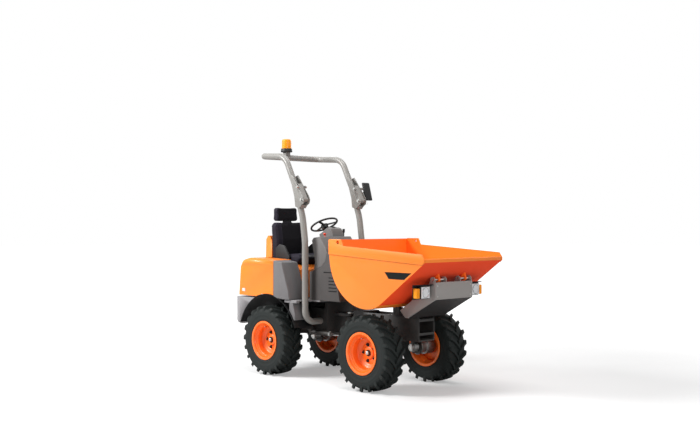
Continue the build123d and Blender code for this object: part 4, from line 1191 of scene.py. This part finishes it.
class DUMPER_OT_stage(DumperStep):
    """Plain pale floor, soft light and the camera"""
    bl_idname = "dumper.stage"
    bl_label = "Stage"

    def build(self, context):
        scene = context.scene
        scene.view_settings.view_transform = "Standard"
        self.floor(scene)
        self.world(scene)
        # columns: name, place, aim, power in watts, width in metres
        lamps = (("key", (-4.2, -6.4, 5.6), (0, 0, 0.7), 900, 2.6),
                 ("front", (7.5, -2.5, 3.2), (0.6, 0, 0.8), 140, 3.0),
                 ("top", (0.6, 0.0, 7.0), (0.3, 0, 0), 260, 3.5),
                 ("back", (-5.0, 6.0, 4.0), (0, 0, 1.0), 120, 4.0))
        for name, place, aim, power, width in lamps:
            self.lamp(scene, name, place, aim, power, width)
        self.camera(scene)

    def floor(self, scene):
        """Large pale floor that meets the white surroundings without a line."""
        work = bmesh.new()
        bmesh.ops.create_grid(work, x_segments=1, y_segments=1, size=60)
        mesh = bpy.data.meshes.new("floor")
        work.to_mesh(mesh)
        work.free()
        finish = Finish("pale floor", roughness=0.9, specular_ior_level=0.0)
        grey, near_glow, far_glow = 0.62, 0.31, 1.0
        finish.shader.inputs["Base Color"].default_value = (grey, grey, grey, 1)
        seen = finish.node("ShaderNodeLightPath", out="Is Camera Ray")
        distance = finish.node("ShaderNodeVectorMath", {"operation": "LENGTH"}, [finish.place], "Value")
        finish.shader.inputs["Emission Color"].default_value = (1, 1, 1, 1)
        finish.feed(emission_strength=seen * (distance.over(6.0, 3.0) * (far_glow - near_glow) + near_glow))
        mesh.materials.append(finish.material)
        made = bpy.data.objects.new("floor", mesh)
        scene.collection.objects.link(made)

    def world(self, scene):
        """Soft grey light all round, seen as white by the camera and in reflections."""
        world = bpy.data.worlds.new("surroundings")
        scene.world = world
        world.use_nodes = True
        tree = world.node_tree
        ground = tree.nodes["Background"]
        ambient = 0.34
        paths = tree.nodes.new("ShaderNodeLightPath")
        seen = tree.nodes.new("ShaderNodeMath")
        seen.operation = "MAXIMUM"
        tree.links.new(paths.outputs["Is Camera Ray"], seen.inputs[0])
        tree.links.new(paths.outputs["Is Glossy Ray"], seen.inputs[1])
        level = tree.nodes.new("ShaderNodeMapRange")
        level.inputs["To Min"].default_value = ambient
        tree.links.new(seen.outputs[0], level.inputs["Value"])
        tree.links.new(level.outputs[0], ground.inputs["Strength"])
        ground.inputs["Color"].default_value = (1, 1, 1, 1)

    def lamp(self, scene, name, place, aim, power, width):
        """Large soft area lamp."""
        data = bpy.data.lights.new(name, "AREA")
        data.energy, data.size = power, width
        made = bpy.data.objects.new(name, data)
        made.location = place
        made.rotation_euler = (Vector(aim) - Vector(place)).to_track_quat("-Z", "Y").to_euler()
        scene.collection.objects.link(made)

    def camera(self, scene):
        """Camera at driver's head height, ahead of the machine and to its right."""
        data = bpy.data.cameras.new("camera")
        data.lens, data.sensor_width = 50.44, 36.0
        made = bpy.data.objects.new("camera", data)
        made.location = (7.7708, -7.4736, 1.7052)
        made.rotation_euler = Vector((-0.7264, 0.6873, 0.0044)).to_track_quat("-Z", "Y").to_euler()
        scene.collection.objects.link(made)
        scene.camera = made


STEPS = (DUMPER_OT_tyres, DUMPER_OT_rims, DUMPER_OT_skip, DUMPER_OT_hood, DUMPER_OT_rear_body,
         DUMPER_OT_chassis, DUMPER_OT_lamps, DUMPER_OT_roll_hoop, DUMPER_OT_seat, DUMPER_OT_console,
         DUMPER_OT_stage)


class DUMPER_PT_panel(bpy.types.Panel):
    """Lists the dumper's settings and steps."""
    bl_idname = "DUMPER_PT_panel"
    bl_label = "Site Dumper"
    bl_space_type = "VIEW_3D"
    bl_region_type = "UI"
    bl_category = "Dumper"

    def draw(self, context):
        for group in (context.scene.dumper_colours, context.scene.dumper_sizes):
            column = self.layout.column()
            for name in group.__annotations__:
                column.prop(group, name)
        for step in STEPS:
            self.layout.operator(step.bl_idname)


CLASSES = (DumperColours, DumperSizes, *STEPS, DUMPER_PT_panel)


def register():
    for entry in CLASSES:
        bpy.utils.register_class(entry)
    bpy.types.Scene.dumper_colours = bpy.props.PointerProperty(type=DumperColours)
    bpy.types.Scene.dumper_sizes = bpy.props.PointerProperty(type=DumperSizes)


def unregister():
    del bpy.types.Scene.dumper_colours, bpy.types.Scene.dumper_sizes
    for entry in reversed(CLASSES):
        bpy.utils.unregister_class(entry)


def main():
    """Build the machine and its stage."""
    register()
    for step in STEPS:
        getattr(bpy.ops.dumper, step.bl_idname.split(".")[1])()


if __name__ == "__main__":
    main()
